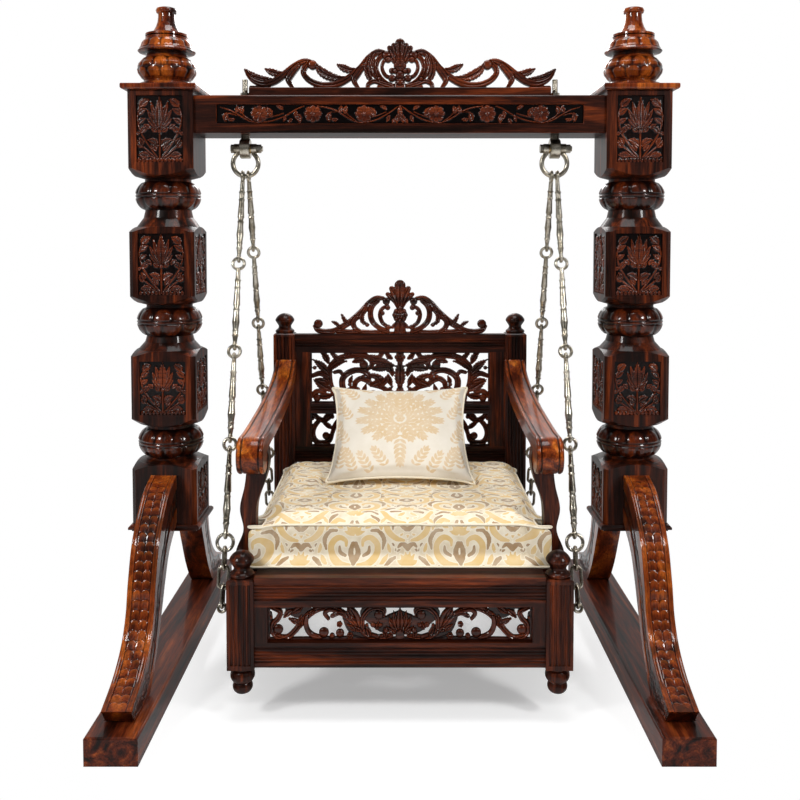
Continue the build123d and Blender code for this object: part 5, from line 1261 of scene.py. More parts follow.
    def crest(self) -> Carving:
        """A wave from a ball at each end up to a palmette over a ring of berries."""
        carving = Carving((-300, 0), (300, 186), self.pitch, self.crest_rise, bold=1.0)
        strokes = marks(
            Ribbon, (((-292, 26, 10), (-280, 12, 16), (-256, 8, 16), (-226, 10, 18), (-200, 22, 20),
              (-165, 44, 22), (-130, 74, 24), (-104, 103, 23), (-82, 120, 19), (-60, 121, 14),
              (-48, 113, 10)), GROOVED),
            (((-216, 12, 10), (-180, 8, 13), (-150, 8, 13), (-110, 6, 13), (-70, 6, 13)), GROOVED, 0.9),
            (((-150, 56, 14), (-160, 36, 18), (-152, 18, 15), (-134, 8, 10)), GROOVED, 0.9),
            (((-118, 84, 14), (-130, 60, 17), (-126, 40, 15), (-108, 30, 9)), LEAF, 0.9, 10),
            (((-74, 112, 12), (-94, 94, 17), (-101, 68, 18), (-94, 42, 18), (-74, 22, 16),
              (-42, 8, 14)), GROOVED),
            (((-42, 96, 10), (-62, 84, 13), (-68, 62, 14), (-60, 38, 13), (-42, 24, 11)), GROOVED, 0.9),
            (((-176, 30, 8), (-190, 48, 15), (-199, 66, 6)), LEAF, 0.85, 9),
            (((-206, 24, 9), (-220, 36, 13), (-232, 42, 6)), LEAF, 0.8, 8))
        balls = marks(
            Knob, (-279, 34, 15), (-46.6, 111, 13), (-42, 89, 9), (-40, 22, 9), (-60, 70, 8), (-112, 30, 7))
        fan = [Ribbon(((-8, 88, 8), (-17, 108, 13), (-31, 126, 18), (-42, 135, 14)), LEAF, 0.85),
               Ribbon(((-5, 88, 9), (-10, 112, 15), (-20, 138, 22), (-28, 154, 18)), LEAF, 0.9),
               leaf(-30, 20, 46, 18, 30, 40, tooth=8)]
        carving.add_all([Ribbon(((-214, 3, 8), (0, 3, 8)), FLAT, 0.6)] + strokes + fan + balls)
        ring = [Knob(20 * math.cos(a), 64 + 20 * math.sin(a), 7) for a in np.arange(8) * math.pi / 4]
        middle = [Ribbon(((0, 84, 12), (0, 112, 19), (0, 142, 33), (0, 165, 37)), LEAF),
                  Ribbon(((0, -4, 44), (0, 44, 30)), ROUND, 0.7), leaf(0, 6, 40, 26, 90, tooth=8),
                  Knob(0, 64, 25), *ring, Knob(0, 64, 13, 6), Knob(0, 88, 8)]
        carving.add_all(middle, mirror=False)
        return carving

    def make(self, finishes: Finishes) -> None:
        """Build the pierced panels and the crest, and dress the frame by its grain."""
        core = self.panel_thickness - 2 * self.panel_rise
        for name, carving, face_y, base in (
                ("apron_carved_panel", self.apron(), self.apron_face, self.apron_base),
                ("back_panel_upper", self.upper(), self.back_face, self.upper_base),
                ("back_panel_lower", self.lower(), self.back_face, self.lower_base)):
            panel = board(carving, Face((0, face_y + self.panel_rise, base)), core)
            show(f"pierced_{name}", [panel], finishes.carved, Body.SWING, (name,))
        core = self.crest_thickness - 2 * self.crest_rise
        crest = board(self.crest(), Face((0, self.crest_face + self.crest_rise, self.crest_base)), core)
        show("carved_back_crest", [crest], finishes.carved, Body.SWING, ("back_crest",))
        dress(finishes.along_z, "seat_post_front_left", "seat_post_front_right", "seat_post_rear_left",
              "seat_post_rear_right", "apron_stiles", "back_stiles", "arm_support_left", "arm_support_right")
        dress(finishes.along_y, "side_rail_left", "side_rail_right")
        dress(finishes.along_x, "apron_top_rail", "apron_bottom_rail", "rear_rail", "back_bottom_rail",
              "back_mid_rail", "back_top_rail")
        dress(finishes.ply, "seat_deck")


@dataclass
class Arms:
    """Two honey-coloured arms that roll over at the front, with a bead along each edge."""

    place: float = 387.0
    width: float = 70.0
    rear: float = 347.0
    top: float = 845.0
    thickness: float = 46.0
    scroll: Pair = (-353.0, 689.0)
    radius: float = 49.0
    fall: tuple[Pair, ...] = ((0.897, 0.364), (0.727, 0.636), (0.504, 0.813), (0.269, 0.935),
                                             (0.097, 1.0))
    band: float = 21.0  # half width of the plain band between the beads
    bead: float = 28.8  # from the middle to a bead's crest
    bead_half: float = 4.6
    sink: float = 3.4  # how deep the grooves beside the beads are

    def outline(self) -> Array:
        """The arm's side outline, (back, up), from the post over the top, round the roll and back below."""
        y, z = self.scroll
        drop = self.top - (z + self.radius)
        edge = [(y + along * (self.rear - y), self.top - fall * drop) for along, fall in self.fall]
        upper = smooth([(self.rear, self.top), *edge, (y, z + self.radius)], 4.0)
        turns = np.radians(np.arange(96, 270, 6))
        roll = np.stack([y + self.radius * np.cos(turns), z + self.radius * np.sin(turns)], axis=1)
        tuck = (y + 0.6 * self.radius, z - 0.88 * self.radius)
        under = [(a, b - self.thickness) for a, b in reversed(edge)]
        lower = smooth([tuck, *under, (self.rear, self.top - self.thickness)], 4.0)
        return np.vstack([upper, roll, lower])

    def depth(self, across: Array) -> Array:
        """How far the surface lies inside the outline, for a place across the arm."""
        away = np.abs(across)
        band = 1.4 * (away / self.band) ** 2
        share = np.clip(np.abs(away - self.bead) / self.bead_half, 0, 1)
        bead = self.sink * (1 - np.sqrt(1 - share**2))
        return np.where(away < self.band, band, np.where(share < 1, bead, self.sink))

    def arm(self, side: int) -> Mesh:
        """One arm: its outline at stations across, closed by a side face at each end."""
        path = self.outline()
        run = np.roll(path, -1, axis=0) - np.roll(path, 1, axis=0)
        run /= np.maximum(np.hypot(*run.T), 1e-9)[:, None]
        inward = np.stack([-run[:, 1], run[:, 0]], axis=1)
        half = self.width / 2
        stations = np.unique(np.concatenate([np.linspace(-half, half, 29), np.linspace(-half, -self.band, 22),
                                             np.linspace(self.band, half, 22)]))
        rings, shades = [], []
        for across, depth in zip(stations, self.depth(stations)):
            ring = path + inward * depth
            rings.append(np.column_stack([np.full(len(path), side * self.place + across), ring]))
            # painted shade with staining in the grooves beside the beads, and a little on the end faces
            groove = 0.85 * np.clip((depth - 1.9) / 1.3, 0, 1)
            shades.append(np.full(len(path), groove if abs(across) < half - 1 else 0.1))
        faces = lattice(len(stations), len(path), flip=True)
        return np.vstack(rings) * MM, faces, np.concatenate(shades)

    def make(self, finishes: Finishes) -> None:
        """Build both arms."""
        for side, hand in hands():
            show(f"scrolled_arm_{hand}", [self.arm(side)], finishes.honey, Body.SWING, (f"arm_{hand}",))


# ---------------- chains and their fittings
@dataclass
class Hangings:
    """The nickelled hangers, shackles and chains, which keep the frame's own shapes."""

    plated: tuple[str, ...] = ("hanger_nuts", "pivot_nuts", "seat_eye_bolts")
    plated_pairs: tuple[str, ...] = ("hanger_housing", "pivot_bolt", "shackle", "chain_rods_front",
                                     "chain_rods_rear", "chain_links_front", "chain_links_rear")

    def make(self, finishes: Finishes) -> None:
        """Dress the metal."""
        dress(finishes.nickel, *self.plated)
        for _, hand in hands():
            dress(finishes.nickel, *[f"{name}_{hand}" for name in self.plated_pairs])
        dress(finishes.brass, "hanger_bushes")
        LOG.info("hangings: %d kinds of plated steel", len(self.plated) + len(self.plated_pairs))


# ---------------- cushion and pillow
def puff(piece: Piece, voxel: float, pressure: float, cap: Array | Callable[[Array], Array],
         steps: int = 20) -> Array:
    """Fill a closed skin with air as cloth, and hold how far each point goes.

    Args:
        piece: The skin, which gets even faces first.
        voxel: Size of those faces, in millimetres.
        pressure: Blender's cloth pressure.
        cap: Gives the most that each starting point may move, in metres.
        steps: Frames that the cloth runs for.

    Returns:
        Where each point started, in metres.
    """
    scene = bpy.context.scene
    bpy.context.view_layer.objects.active = piece
    remesh = piece.modifiers.new("even", "REMESH")
    remesh.mode = "VOXEL"
    remesh.voxel_size = voxel * MM
    fix(piece)
    start = corners(piece)
    cloth = piece.modifiers.new("cloth", "CLOTH")
    cloth.settings.use_pressure = True
    cloth.settings.uniform_pressure_force = pressure
    cloth.settings.effector_weights.gravity = 0.0
    cloth.settings.quality = 5
    cloth.point_cache.frame_end = steps
    for frame_number in range(1, steps + 1):
        scene.frame_set(frame_number)
    fix(piece)
    scene.frame_set(1)
    moved = corners(piece) - start
    reach = np.linalg.norm(moved, axis=1)
    hold = np.minimum(1.0, cap(start) / np.maximum(reach, 1e-9))
    piece.data.vertices.foreach_set("co", (start + moved * hold[:, None]).astype(np.float32).ravel())
    piece.data.update()
    return start


def fix(piece: Piece) -> None:
    """Apply a piece's modifiers to its mesh."""
    seen = piece.evaluated_get(bpy.context.evaluated_depsgraph_get())
    mesh = bpy.data.meshes.new_from_object(seen)
    piece.modifiers.clear()
    piece.data = mesh


def corners(piece: Piece) -> Array:
    """A piece's vertices, in metres."""
    places = np.empty(len(piece.data.vertices) * 3, np.float32)
    piece.data.vertices.foreach_get("co", places)
    return places.reshape(-1, 3).astype(float)


def refine(piece: Piece, start: Array) -> Array:
    """Subdivide a piece once, smoothly.

    Args:
        piece: The piece.
        start: Where its points started, in metres.

    Returns:
        Where its finer points started, in millimetres.
    """
    rest = piece.data.attributes.new("start", "FLOAT_VECTOR", "POINT")
    rest.data.foreach_set("vector", start.astype(np.float32).ravel())
    smoother = piece.modifiers.new("finer", "SUBSURF")
    smoother.levels = smoother.render_levels = 1
    fix(piece)
    piece.data.polygons.foreach_set("use_smooth", [True] * len(piece.data.polygons))
    flat = np.empty(len(piece.data.vertices) * 3, np.float32)
    piece.data.attributes["start"].data.foreach_get("vector", flat)
    return flat.reshape(-1, 3).astype(float) / MM


def tube(path: Array, radius: float, sides: int = 8) -> Mesh:
    """A closed round cord along a closed path.

    Args:
        path: Points in metres, once round.
        radius: In millimetres.
        sides: Points round the cord.

    Returns:
        Its mesh.
    """
    run = np.roll(path, -1, axis=0) - np.roll(path, 1, axis=0)
    run /= np.maximum(np.linalg.norm(run, axis=1), 1e-9)[:, None]
    up = np.array([0.13, -0.21, 0.97])
    out = np.cross(run, up)
    out /= np.maximum(np.linalg.norm(out, axis=1), 1e-9)[:, None]
    high = np.cross(out, run)
    turns = np.linspace(0, 2 * math.pi, sides, endpoint=False)
    rings = (path[:, None] + radius * MM * (np.cos(turns)[None, :, None] * out[:, None]
                                            + np.sin(turns)[None, :, None] * high[:, None]))
    faces = lattice(len(path), sides, flip=True, closed=True)
    return rings.reshape(-1, 3), faces, np.zeros(len(path) * sides)


def seam(path: Array, start: Array, now: Array, soften: int = 3) -> Array:
    """Carry a closed seam line along with the skin that it is sewn into.

    Args:
        path: The seam before the filling, in metres.
        start: Where the skin's points started.
        now: Where they are.
        soften: Rounds of smoothing.

    Returns:
        The seam after the filling.
    """
    tree = KDTree(len(start))
    for number, point in enumerate(start):
        tree.insert(point, number)
    tree.balance()
    carried = []
    for point in path:
        near = tree.find_n(point, 6)
        weights = np.array([1 / (1e-4 + found[2]) for found in near])
        shift = sum(w * (now[found[1]] - start[found[1]]) for w, found in zip(weights, near))
        carried.append(point + shift / weights.sum())
    line = np.array(carried)
    for _ in range(soften):
        line = (np.roll(line, 1, axis=0) + 2 * line + np.roll(line, -1, axis=0)) / 4
    return line


def weave(piece: Piece, gold: Array, taupe: Array) -> None:
    """Store how far each point of a cloth lies inside its gold and its taupe leaves."""
    for name, values in ((GOLD, gold), (TAUPE, taupe)):
        piece.data.attributes.new(name, "FLOAT", "POINT").data.foreach_set("value", values.astype(np.float32))


@dataclass
class Cushion:
    """The seat cushion: boxed, piped at both edges, filled tight, in a scrolling jacquard."""

    half: float = 408.0
    front: float = -344.0
    back: float = 333.0
    bottom: float = 383.3
    top: float = 492.3
    notch: Triple = (370.0, -321.0, -270.0)
    corner: float = 12.0  # the strip in front of the notch is only 23 mm deep
    corner_drop: float = 16.0  # how far the top slopes off to the front corners
    rear_corner: float = 60.0
    voxel: float = 7.0
    pressure: float = 6.0
    cap: float = 28.0
    piping: float = 3.2
    hold: float = 30.0  # over which the filling grows away from a notch
    ease: float = 25.0  # over which it grows at the front ends and up from the underside
    post: float = 372.0  # where the front posts begin, from the middle
    foot: Pair = (45.0, 75.0)  # where the pillow stands, and how far its dent reaches before and behind
    foot_half: float = 256.0
    foot_fade: float = 24.0
    dent_top: float = 522.0
    dent_depth: float = 28.0
    gold_wear: float = 0.22  # share of a leaf's height that the woven figure leaves out
    taupe_wear: float = 0.15
    leaf_gap: float = 1.6  # of pale ground between two leaves
    half_repeat: float = 144.0
    repeat: float = 206.0
    axis: float = -125.0
    curl_tries: int = 1400

    def plan(self, inset: float) -> Array:
        """The cover's outline seen from above, (across, back), once round."""
        inner, low, high = self.notch
        half, front, back = self.half - inset, self.front + inset, self.back - inset
        points = []

        def bend(x: float, y: float, radius: float, first: float) -> None:
            """Round a corner through a quarter turn that starts at an angle."""
            for turn in np.radians(np.linspace(first, first + 90, 9)):
                points.append((x + radius * math.cos(turn), y + radius * math.sin(turn)))

        bend(half - self.corner, front + self.corner, self.corner, -90)
        points += [(half, low - 4 - inset), (half - 4, low - inset), (inner - inset, low - inset),
                   (inner - inset, high + inset), (half - 4, high + inset), (half, high + 4 + inset)]
        bend(half - self.rear_corner, back - self.rear_corner, self.rear_corner, 0)
        left = [(-x, y) for x, y in reversed(points)]
        closed = np.array([*points, *left, points[0]])
        reach = travelled(closed)
        even = np.linspace(0, reach[-1], int(reach[-1] / 4), endpoint=False)
        return np.stack([np.interp(even, reach, closed[:, 0]), np.interp(even, reach, closed[:, 1])], axis=1)

    def skin(self) -> tuple[Array, list]:
        """The cover before it is filled: the plan drawn up, with a soft shoulder."""
        levels = ((5.0, self.bottom), (0.8, self.bottom + 4), (0.0, self.bottom + 12), (0.0, self.top - 12),
                  (1.2, self.top - 4), (5.0, self.top))
        rings = [self.plan(3 + inset) for inset, _ in levels]
        count = min(len(ring) for ring in rings)
        rings = [ring[np.linspace(0, len(ring) - 1, count).astype(int)] for ring in rings]
        points = [np.column_stack([ring, np.full(count, z)]) for ring, (_, z) in zip(rings, levels)]
        for ring in points[3:]:
            outer = np.clip((np.abs(ring[:, 0]) - self.notch[0]) / (self.half - self.notch[0]), 0, 1)
            ring[:, 2] -= np.where(ring[:, 1] < self.notch[1], self.corner_drop * outer**2, 0)
        return np.vstack(points) * MM, lattice(len(levels), count)

    def allow(self, start: Array) -> Array:
        """How far each point may go: little at the notches and the underside, most in the middle."""
        x, y, z = (start / MM).T
        inner, low, high = self.notch
        beside = np.hypot(np.maximum(inner - np.abs(x), 0), np.maximum(np.maximum(low - y, y - high), 0))
        near = np.clip((beside - 3) / self.hold, 0, 1)
        posts = np.clip((self.post - np.abs(x)) / self.ease, 0, 1)
        ends = np.where(y < self.front + self.ease, posts, 1.0)
        under = np.clip((z - self.bottom - 2) / self.ease, 0.02, 1)
        return self.cap * MM * near * np.maximum(ends, 0.15) * under

    def cloth(self) -> tuple[Carving, Carving]:
        """The jacquard's gold leaves and taupe leaves, in one mirrored half repeat."""
        gold = Carving((0, 0), (self.half_repeat, self.repeat), 1.2)
        taupe = Carving((0, 0), (self.half_repeat, self.repeat), 1.2)
        arcs = marks(
            Ribbon,
            (((10, 6, 8), (36, 8, 16), (58, 24, 19), (62, 50, 18), (44, 68, 16), (24, 62, 12), (22, 48, 8)),),
            (((134, 60, 8), (112, 66, 15), (92, 84, 18), (88, 108, 17), (104, 124, 15), (122, 116, 10)),),
            (((8, 112, 8), (30, 112, 15), (52, 126, 18), (60, 150, 18), (46, 170, 15), (28, 166, 10)),),
            (((138, 160, 8), (116, 164, 14), (94, 178, 16), (76, 200, 14)),))
        fans = []
        for x, y, reach in ((0, 74, 34), (0, 184, 32), (144, 4, 34), (144, 128, 30)):
            for angle in (20, 48, 76, 104, 132, 160):
                fans.append(leaf(x, y, reach, 12, angle, 0, 9, ROUND))
        sprigs = marks(
            leaf, (70, 8, 34, 13, 30, 40, 8), (98, 30, 30, 12, 120, -40, 8), (74, 86, 30, 12, 100, 30, 8),
            (30, 92, 30, 12, 20, 30, 8), (112, 94, 22, 10, 80, 30), (66, 112, 28, 12, 30, 20, 8),
            (100, 140, 30, 13, 150, 30, 8), (72, 160, 26, 12, 60, -30, 8), (36, 146, 22, 10, 160, -40),
            (118, 186, 26, 12, 20, 30, 8))
        gold.add_all(arcs + fans + sprigs, mirror=False)
        wedges = marks(
            Ribbon, (((0, 10, 14), (10, 30, 16), (4, 54, 12)), ROUND, 1, 9),
            (((76, 40, 8), (80, 64, 14), (66, 84, 12), (46, 86, 8)), ROUND, 1, 8),
            (((144, 40, 16), (130, 52, 14), (118, 44, 8)), ROUND, 1, 8),
            (((12, 92, 10), (26, 100, 12), (50, 104, 9)), ROUND, 1, 8),
            (((72, 120, 8), (76, 142, 14), (64, 172, 12), (46, 186, 8)), ROUND, 1, 8),
            (((140, 88, 14), (128, 100, 14), (140, 112, 10)), ROUND, 1, 8),
            (((0, 124, 14), (12, 142, 14), (6, 166, 10)), ROUND, 1, 9),
            (((110, 20, 8), (94, 12, 12), (84, 2, 8)), ROUND, 1, 7),
            (((130, 144, 10), (112, 152, 13), (92, 160, 9)), ROUND, 1, 8),
            (((100, 200, 10), (124, 204, 12)), ROUND, 1, 7), (((24, 24, 8), (38, 32, 11), (40, 46, 7)),),
            (((104, 88, 7), (106, 104, 9)),), (((34, 130, 7), (44, 146, 9)),),
            (((20, 196, 9), (44, 202, 10), (64, 190, 7)), ROUND, 1, 7))
        taupe.add_all(wedges, mirror=False)
        self.curls(gold, taupe)
        return gold, taupe

    def curls(self, gold: Carving, taupe: Carving) -> None:
        """Fill what is left of the ground with small curled leaves of both colours."""
        draw = np.random.default_rng(SEED)
        for _ in range(self.curl_tries):
            x, y = draw.uniform(0, self.half_repeat), draw.uniform(0, self.repeat)
            width = draw.uniform(4.5, 8.0)
            mark = leaf(x, y, draw.uniform(11, 24), width, draw.uniform(0, 360),
                        draw.choice((-1, 1)) * draw.uniform(50, 150), draw.choice((0, 7)), ROUND)
            spots = np.array(mark.points)
            busy = max(colour.sample(spots[:, 0], spots[:, 1])[0].max() for colour in (gold, taupe))
            if busy < -width / 2 - 0.8:
                (gold if draw.random() < 0.58 else taupe).add(mark)

    def pattern(self, across: Array, along: Array) -> tuple[Array, Array]:
        """Look up the jacquard at places on the flat cloth."""
        gold, taupe = self.cloth()
        half = self.half_repeat
        folded = np.abs(np.mod(across - self.axis + half, 2 * half) - half)
        level = np.mod(along, self.repeat)
        inside_gold, rise_gold = gold.sample(folded, level)
        inside_taupe, rise_taupe = taupe.sample(folded, level)
        inside_gold = np.minimum(inside_gold, (rise_gold - self.gold_wear) * 7)
        inside_taupe = np.minimum(inside_taupe, (rise_taupe - self.taupe_wear) * 7)
        room = np.where(inside_gold > -self.leaf_gap, -inside_gold - self.leaf_gap, np.inf)
        return inside_gold, np.minimum(inside_taupe, room)

    def dent(self, now: Array) -> Array:
        """Press the top in where the pillow's lower edge stands on it."""
        x, y, z = now.T / MM
        place, reach = self.foot
        share = np.clip(1 - ((y - place) / reach) ** 2, 0, 1)
        share *= np.clip((self.foot_half - np.abs(x)) / self.foot_fade, 0, 1)
        lower = np.minimum(z, np.where(share > 0, self.dent_top - self.dent_depth * share, z))
        return np.column_stack([x, y, np.where(z > self.top - 20, lower, z)]) * MM

    def make(self, finishes: Finishes) -> None:
        """Fill the cover, weave its pattern in and sew the piping on."""
        points, faces = self.skin()
        piece = build("boxed_seat_cushion", points, faces, finishes.jacquard)
        start = puff(piece, self.voxel, self.pressure, self.allow)
        now = corners(piece)
        now[:, 2] = np.maximum(now[:, 2], self.bottom * MM)
        now = self.dent(now)
        piece.data.vertices.foreach_set("co", now.astype(np.float32).ravel())
        lines = []
        for inset, z in ((4.5, self.top - 1.5), (4.5, self.bottom + 2.5)):
            plan = self.plan(inset)
            path = np.column_stack([plan, np.full(len(plan), z)]) * MM
            lines.append(tube(seam(path, start, now), self.piping))
        x, y, z = refine(piece, start).T
        drop = np.clip(self.top - 5 - z, 0, None)
        front = (y < self.front + 12) & (drop > 0)
        side = ~front & (np.abs(x) > self.half - 12) & (drop > 0)
        across = np.where(side, x + np.sign(x) * drop, x)
        along = np.where(front, 96 - drop * 0.92, y + 80)
        gold, taupe = self.pattern(across, along)
        weave(piece, gold, taupe)
        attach(piece, Body.CUSHION.value)
        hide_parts("seat_cushion")
        show("cushion_piping", lines, finishes.cord, Body.CUSHION)
        LOG.info("seat cushion: %d points", len(x))


@dataclass
class Pillow:
    """The throw pillow: knife-edged, pointed at the corners, piped, in a pale damask."""

    width: float = 470.0
    length: float = 412.0
    thickness: float = 84.0
    lean: float = 52.0
    centre: Triple = (0.0, 188.0, 630.0)
    pull: Pair = (22.0, 20.0)  # how far the sides, and the top and bottom, draw in
    margin: float = 2.0  # of the sewn edge inside the cut cloth
    voxel: float = 5.0
    pressure: float = 4.0
    cap: float = 9.0
    piping: float = 3.6

    def rim(self, u: Array, v: Array) -> tuple[Array, Array]:
        """Where a place of the flat cloth lies, from -1 to 1 each way."""
        x = u * (self.width / 2 - self.margin - self.pull[0] * (1 - v**2))
        y = v * (self.length / 2 - self.margin - self.pull[1] * (1 - u**2))
        return x, y

    def stand(self, x: Array, y: Array, z: Array) -> Array:
        """Turn the pillow's own across, up and forward into the frame, in metres."""
        lean = math.radians(self.lean)
        up = np.array([0.0, math.sin(lean), math.cos(lean)])
        forward = np.array([0.0, -math.cos(lean), math.sin(lean)])
        return (np.array(self.centre) + np.stack([x, 0 * x, 0 * x], axis=1) + y[:, None] * up
                + z[:, None] * forward) * MM

    def skin(self) -> tuple[Array, list]:
        """Two crowned sheets that meet in the seam."""
        u, v = np.meshgrid(np.linspace(-1, 1, 73), np.linspace(-1, 1, 55))
        x, y = self.rim(u, v)
        swell = (np.clip(1 - u**2, 0, 1) * np.clip(1 - v**2, 0, 1)) ** 0.42
        high = np.maximum((self.thickness / 2 - 5) * swell, 0.8)
        cells, ring = sheet(u.shape)
        after = np.roll(ring, -1)
        walls = np.stack([after, ring, ring + u.size, after + u.size], axis=1)
        faces = np.vstack([cells, (cells + u.size)[:, ::-1], walls]).tolist()
        flat = x.ravel(), y.ravel()
        points = np.vstack([self.stand(*flat, high.ravel()), self.stand(*flat, -high.ravel())])
        return points, faces

    def sprig(self, x: float, y: float, angle: float, length: float, size: float) -> list[Mark]:
        """A feathery sprig.

        Args:
            x: Stalk, across.
            y: Stalk, up.
            angle: Heading in degrees.
            length: From stalk to tip.
            size: Length of its middle leaflets.

        Returns:
            Its leaflets.
        """
        sewn: list[Mark] = []
        heading = math.radians(angle)
        pairs = max(2, round(length / 15))
        for pair in range(pairs):
            share = (pair + 0.4) / pairs
            at = (x + math.cos(heading) * length * share, y + math.sin(heading) * length * share)
            reach = size * (1.05 - 0.5 * abs(share - 0.45))
            for hand in (-1, 1):
                sewn.append(leaf(*at, reach, reach * 0.46, angle + hand * (62 - 26 * share), -hand * 26, 6,
                                  ROUND))
        tip = (x + math.cos(heading) * length * 0.86, y + math.sin(heading) * length * 0.86)
        sewn.append(leaf(*tip, size, size * 0.5, angle, 0, 6, ROUND))
        return sewn

    def motif(self) -> Carving:
        """The damask: a medallion of feathery sprigs with a drop below it, and sprigs in the corners."""
        carving = Carving((-self.width / 2, -self.length / 2), (self.width / 2, self.length / 2), 1.5)
        sewn: list[Mark] = []
        for angle, length in ((106, 98), (124, 104), (143, 112), (162, 116), (182, 114), (203, 104),
                              (225, 88), (247, 70)):
            turn = math.radians(angle)
            sewn += self.sprig(16 * math.cos(turn), 22 + 16 * math.sin(turn), angle, length, 33)
        for x, y, angle, length in ((-40, -158, 124, 74), (-88, -180, 118, 78), (-142, -176, 108, 84),
                                    (-192, -166, 84, 76), (-166, -72, 116, 62), (-204, -44, 88, 66),
                                    (-158, 26, 118, 58), (-198, 56, 86, 66), (-136, 112, 128, 56),
                                    (-184, 138, 98, 44), (-84, 148, 150, 56), (-30, 164, 152, 42)):
            sewn += self.sprig(x, y, angle, length, 29)
        carving.add_all(sewn)
        centre = [*self.sprig(0, 30, 90, 104, 32), *self.sprig(0, -40, 270, 112, 32), Knob(0, 22, 17, 6, 1.2)]
        carving.add_all(centre, mirror=False)
        return carving

    def make(self, finishes: Finishes) -> None:
        """Fill the pillow, weave its damask in and sew the piping on."""
        points, faces = self.skin()
        piece = build("damask_throw_pillow", points, faces, finishes.damask)
        start = puff(piece, self.voxel, self.pressure, lambda at: np.full(len(at), self.cap * MM))
        now = corners(piece)
        side = np.linspace(-1, 1, 80, endpoint=False)
        one = np.ones(len(side))
        u = np.concatenate([side, one, -side, -one])
        v = np.concatenate([-one, side, one, -side])
        x, y = self.rim(u, v)
        lines = [tube(seam(self.stand(x, y, 0 * x), start, now, 2), self.piping)]
        away = refine(piece, start) - np.array(self.centre)
        lean = math.radians(self.lean)
        level = away[:, 1] * math.sin(lean) + away[:, 2] * math.cos(lean)
        inside, rise = self.motif().sample(away[:, 0], level)
        gold = np.minimum(inside, (rise - 0.3) * 6)
        weave(piece, gold, np.full(len(gold), -99.0))
        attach(piece, Body.PILLOW.value)
        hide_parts("throw_pillow")
        show("pillow_piping", lines, finishes.cord, Body.PILLOW)
        LOG.info("throw pillow: %d points", len(gold))


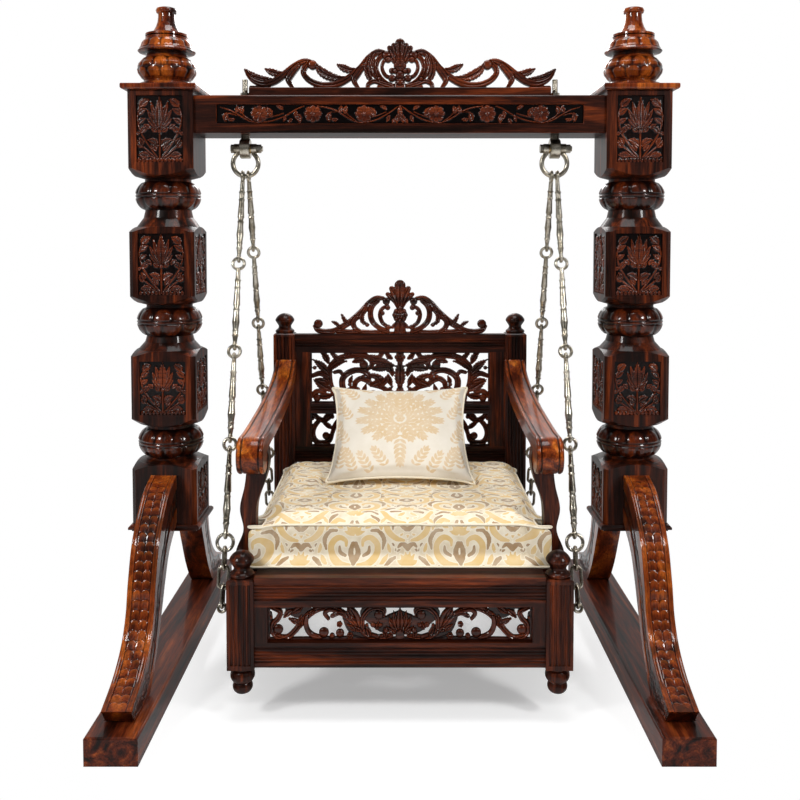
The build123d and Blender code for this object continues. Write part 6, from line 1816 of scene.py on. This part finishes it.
# ---------------- studio
@dataclass
class Studio:
    """A white cyclorama, a pale floor, soft lamps and the camera."""

    camera_place: Triple = (0.0, -2.6904, 1.2561)
    tilt: float = 2.61  # degrees below level
    lens: float = 40.6
    shift: float = -0.151
    floor_half: float = 14.0
    floor_glow: float = 0.34
    shadow_reach: Pair = (0.5, 1.2)
    shadow_shape: Pair = (0.72, 0.95)  # how far it reaches across and back
    fill: float = 0.32  # the world's light on the swing

    def camera(self) -> None:
        """Create the camera."""
        data = bpy.data.cameras.new("camera")
        data.lens = self.lens
        data.sensor_width = 36.0
        data.shift_y = self.shift
        eye = bpy.data.objects.new("camera", data)
        eye.location = self.camera_place
        eye.rotation_euler = (math.radians(90 - self.tilt), 0, 0)
        bpy.context.scene.collection.objects.link(eye)
        bpy.context.scene.camera = eye

    def world(self) -> None:
        """White to the camera and in reflections of the backdrop, dark behind the camera."""
        world = bpy.data.worlds.new("studio")
        world.use_nodes = True
        tree = world.node_tree
        tree.nodes.clear()
        rays = add(tree, "LightPath")
        heading = add(tree, "SeparateXYZ", {0: add(tree, "TexCoord").outputs["Generated"]})
        mirror = add(tree, "Math", {0: rays.outputs["Is Glossy Ray"], 1: rays.outputs["Is Transmission Ray"]},
                     operation="MAXIMUM")
        backdrop = add(tree, "MapRange", {"Value": heading.outputs["Y"], 1: 0.1, 2: 0.8, 3: 0.03, 4: 0.9})
        shown = add(tree, "Math", {0: mirror, 1: backdrop}, operation="MULTIPLY")
        white = add(tree, "Math", {0: rays.outputs["Is Camera Ray"], 1: shown}, operation="MAXIMUM")
        seen = add(tree, "Math", {0: rays.outputs["Is Camera Ray"], 1: mirror}, operation="MAXIMUM")
        strength = add(tree, "Mix", {"Factor": seen, 2: self.fill, 3: white})
        light = add(tree, "Background", {"Color": (1, 1, 1, 1), "Strength": strength})
        add(tree, "OutputWorld", {"Surface": light})
        bpy.context.scene.world = world

    def floor(self) -> None:
        """A pale floor that keeps the swing's shadow and turns white away from it."""
        half = self.floor_half
        under = -0.0005  # just clear of the rails' undersides
        outline = np.array([(x * half, y * half, under) for x, y in ((-1, -1), (1, -1), (1, 1), (-1, 1))])
        material, tree = blank("studio_floor")
        rays = add(tree, "LightPath")
        place = add(tree, "TexCoord").outputs["Object"]
        squeeze = (1 / self.shadow_shape[0], 1 / self.shadow_shape[1], 1)
        squeezed = add(tree, "VectorMath", {0: place, 1: squeeze}, operation="MULTIPLY")
        away = add(tree, "VectorMath", {0: squeezed}, operation="LENGTH").outputs["Value"]
        fade = add(tree, "MapRange", {"Value": away, 1: self.shadow_reach[0], 2: self.shadow_reach[1]},
                   interpolation_type="SMOOTHSTEP")
        paint = add(tree, "BsdfDiffuse", {"Color": linear("#E8E8E8")})
        glow = add(tree, "Emission", {"Color": (1, 1, 1, 1), "Strength": self.floor_glow})
        lit = add(tree, "AddShader", {0: paint, 1: glow})
        white = add(tree, "Emission", {"Color": (1, 1, 1, 1), "Strength": 1.0})
        faded = add(tree, "MixShader", {0: fade, 1: lit, 2: white})
        mixed = add(tree, "MixShader", {0: rays.outputs["Is Camera Ray"], 1: paint, 2: faded})
        add(tree, "OutputMaterial", {"Surface": mixed})
        plane = build("studio_floor", outline, [(0, 1, 2, 3)], material)

    def lamps(self) -> None:
        """A key softbox on each side in front, one overhead and one behind."""
        for name, place, aim, size, power in (
                ("key_left", (-2.6, -2.4, 2.9), (0, 0, 0.9), 0.6, 66),
                ("key_right", (2.6, -2.4, 2.9), (0, 0, 0.9), 0.6, 66),
                ("overhead", (0, -0.4, 4.4), (0, 0, 0), 1.8, 88),
                ("rear", (0.0, 3.2, 3.0), (0, 0, 0.8), 1.4, 45)):
            data = bpy.data.lights.new(name, "AREA")
            data.size = size
            data.energy = power
            lamp = bpy.data.objects.new(name, data)
            lamp.location = place
            lamp.rotation_euler = (Vector(aim) - Vector(place)).to_track_quat("-Z", "Y").to_euler()
            bpy.context.scene.collection.objects.link(lamp)

    def make(self) -> None:
        """Set up the studio."""
        bpy.context.scene.view_settings.view_transform = "Standard"
        self.camera()
        self.world()
        self.floor()
        self.lamps()


def main() -> None:
    """Build the looks in order."""
    logging.basicConfig(level=logging.INFO, format="%(name)s: %(message)s")
    finishes = Finishes()
    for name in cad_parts:
        dress(finishes.along_x, name)
    Posts().make(finishes)
    Legs().make(finishes)
    Beam().make(finishes)
    Seat().make(finishes)
    Arms().make(finishes)
    Hangings().make(finishes)
    Cushion().make(finishes)
    Pillow().make(finishes)
    Studio().make()


if __name__ == "__main__":
    main()
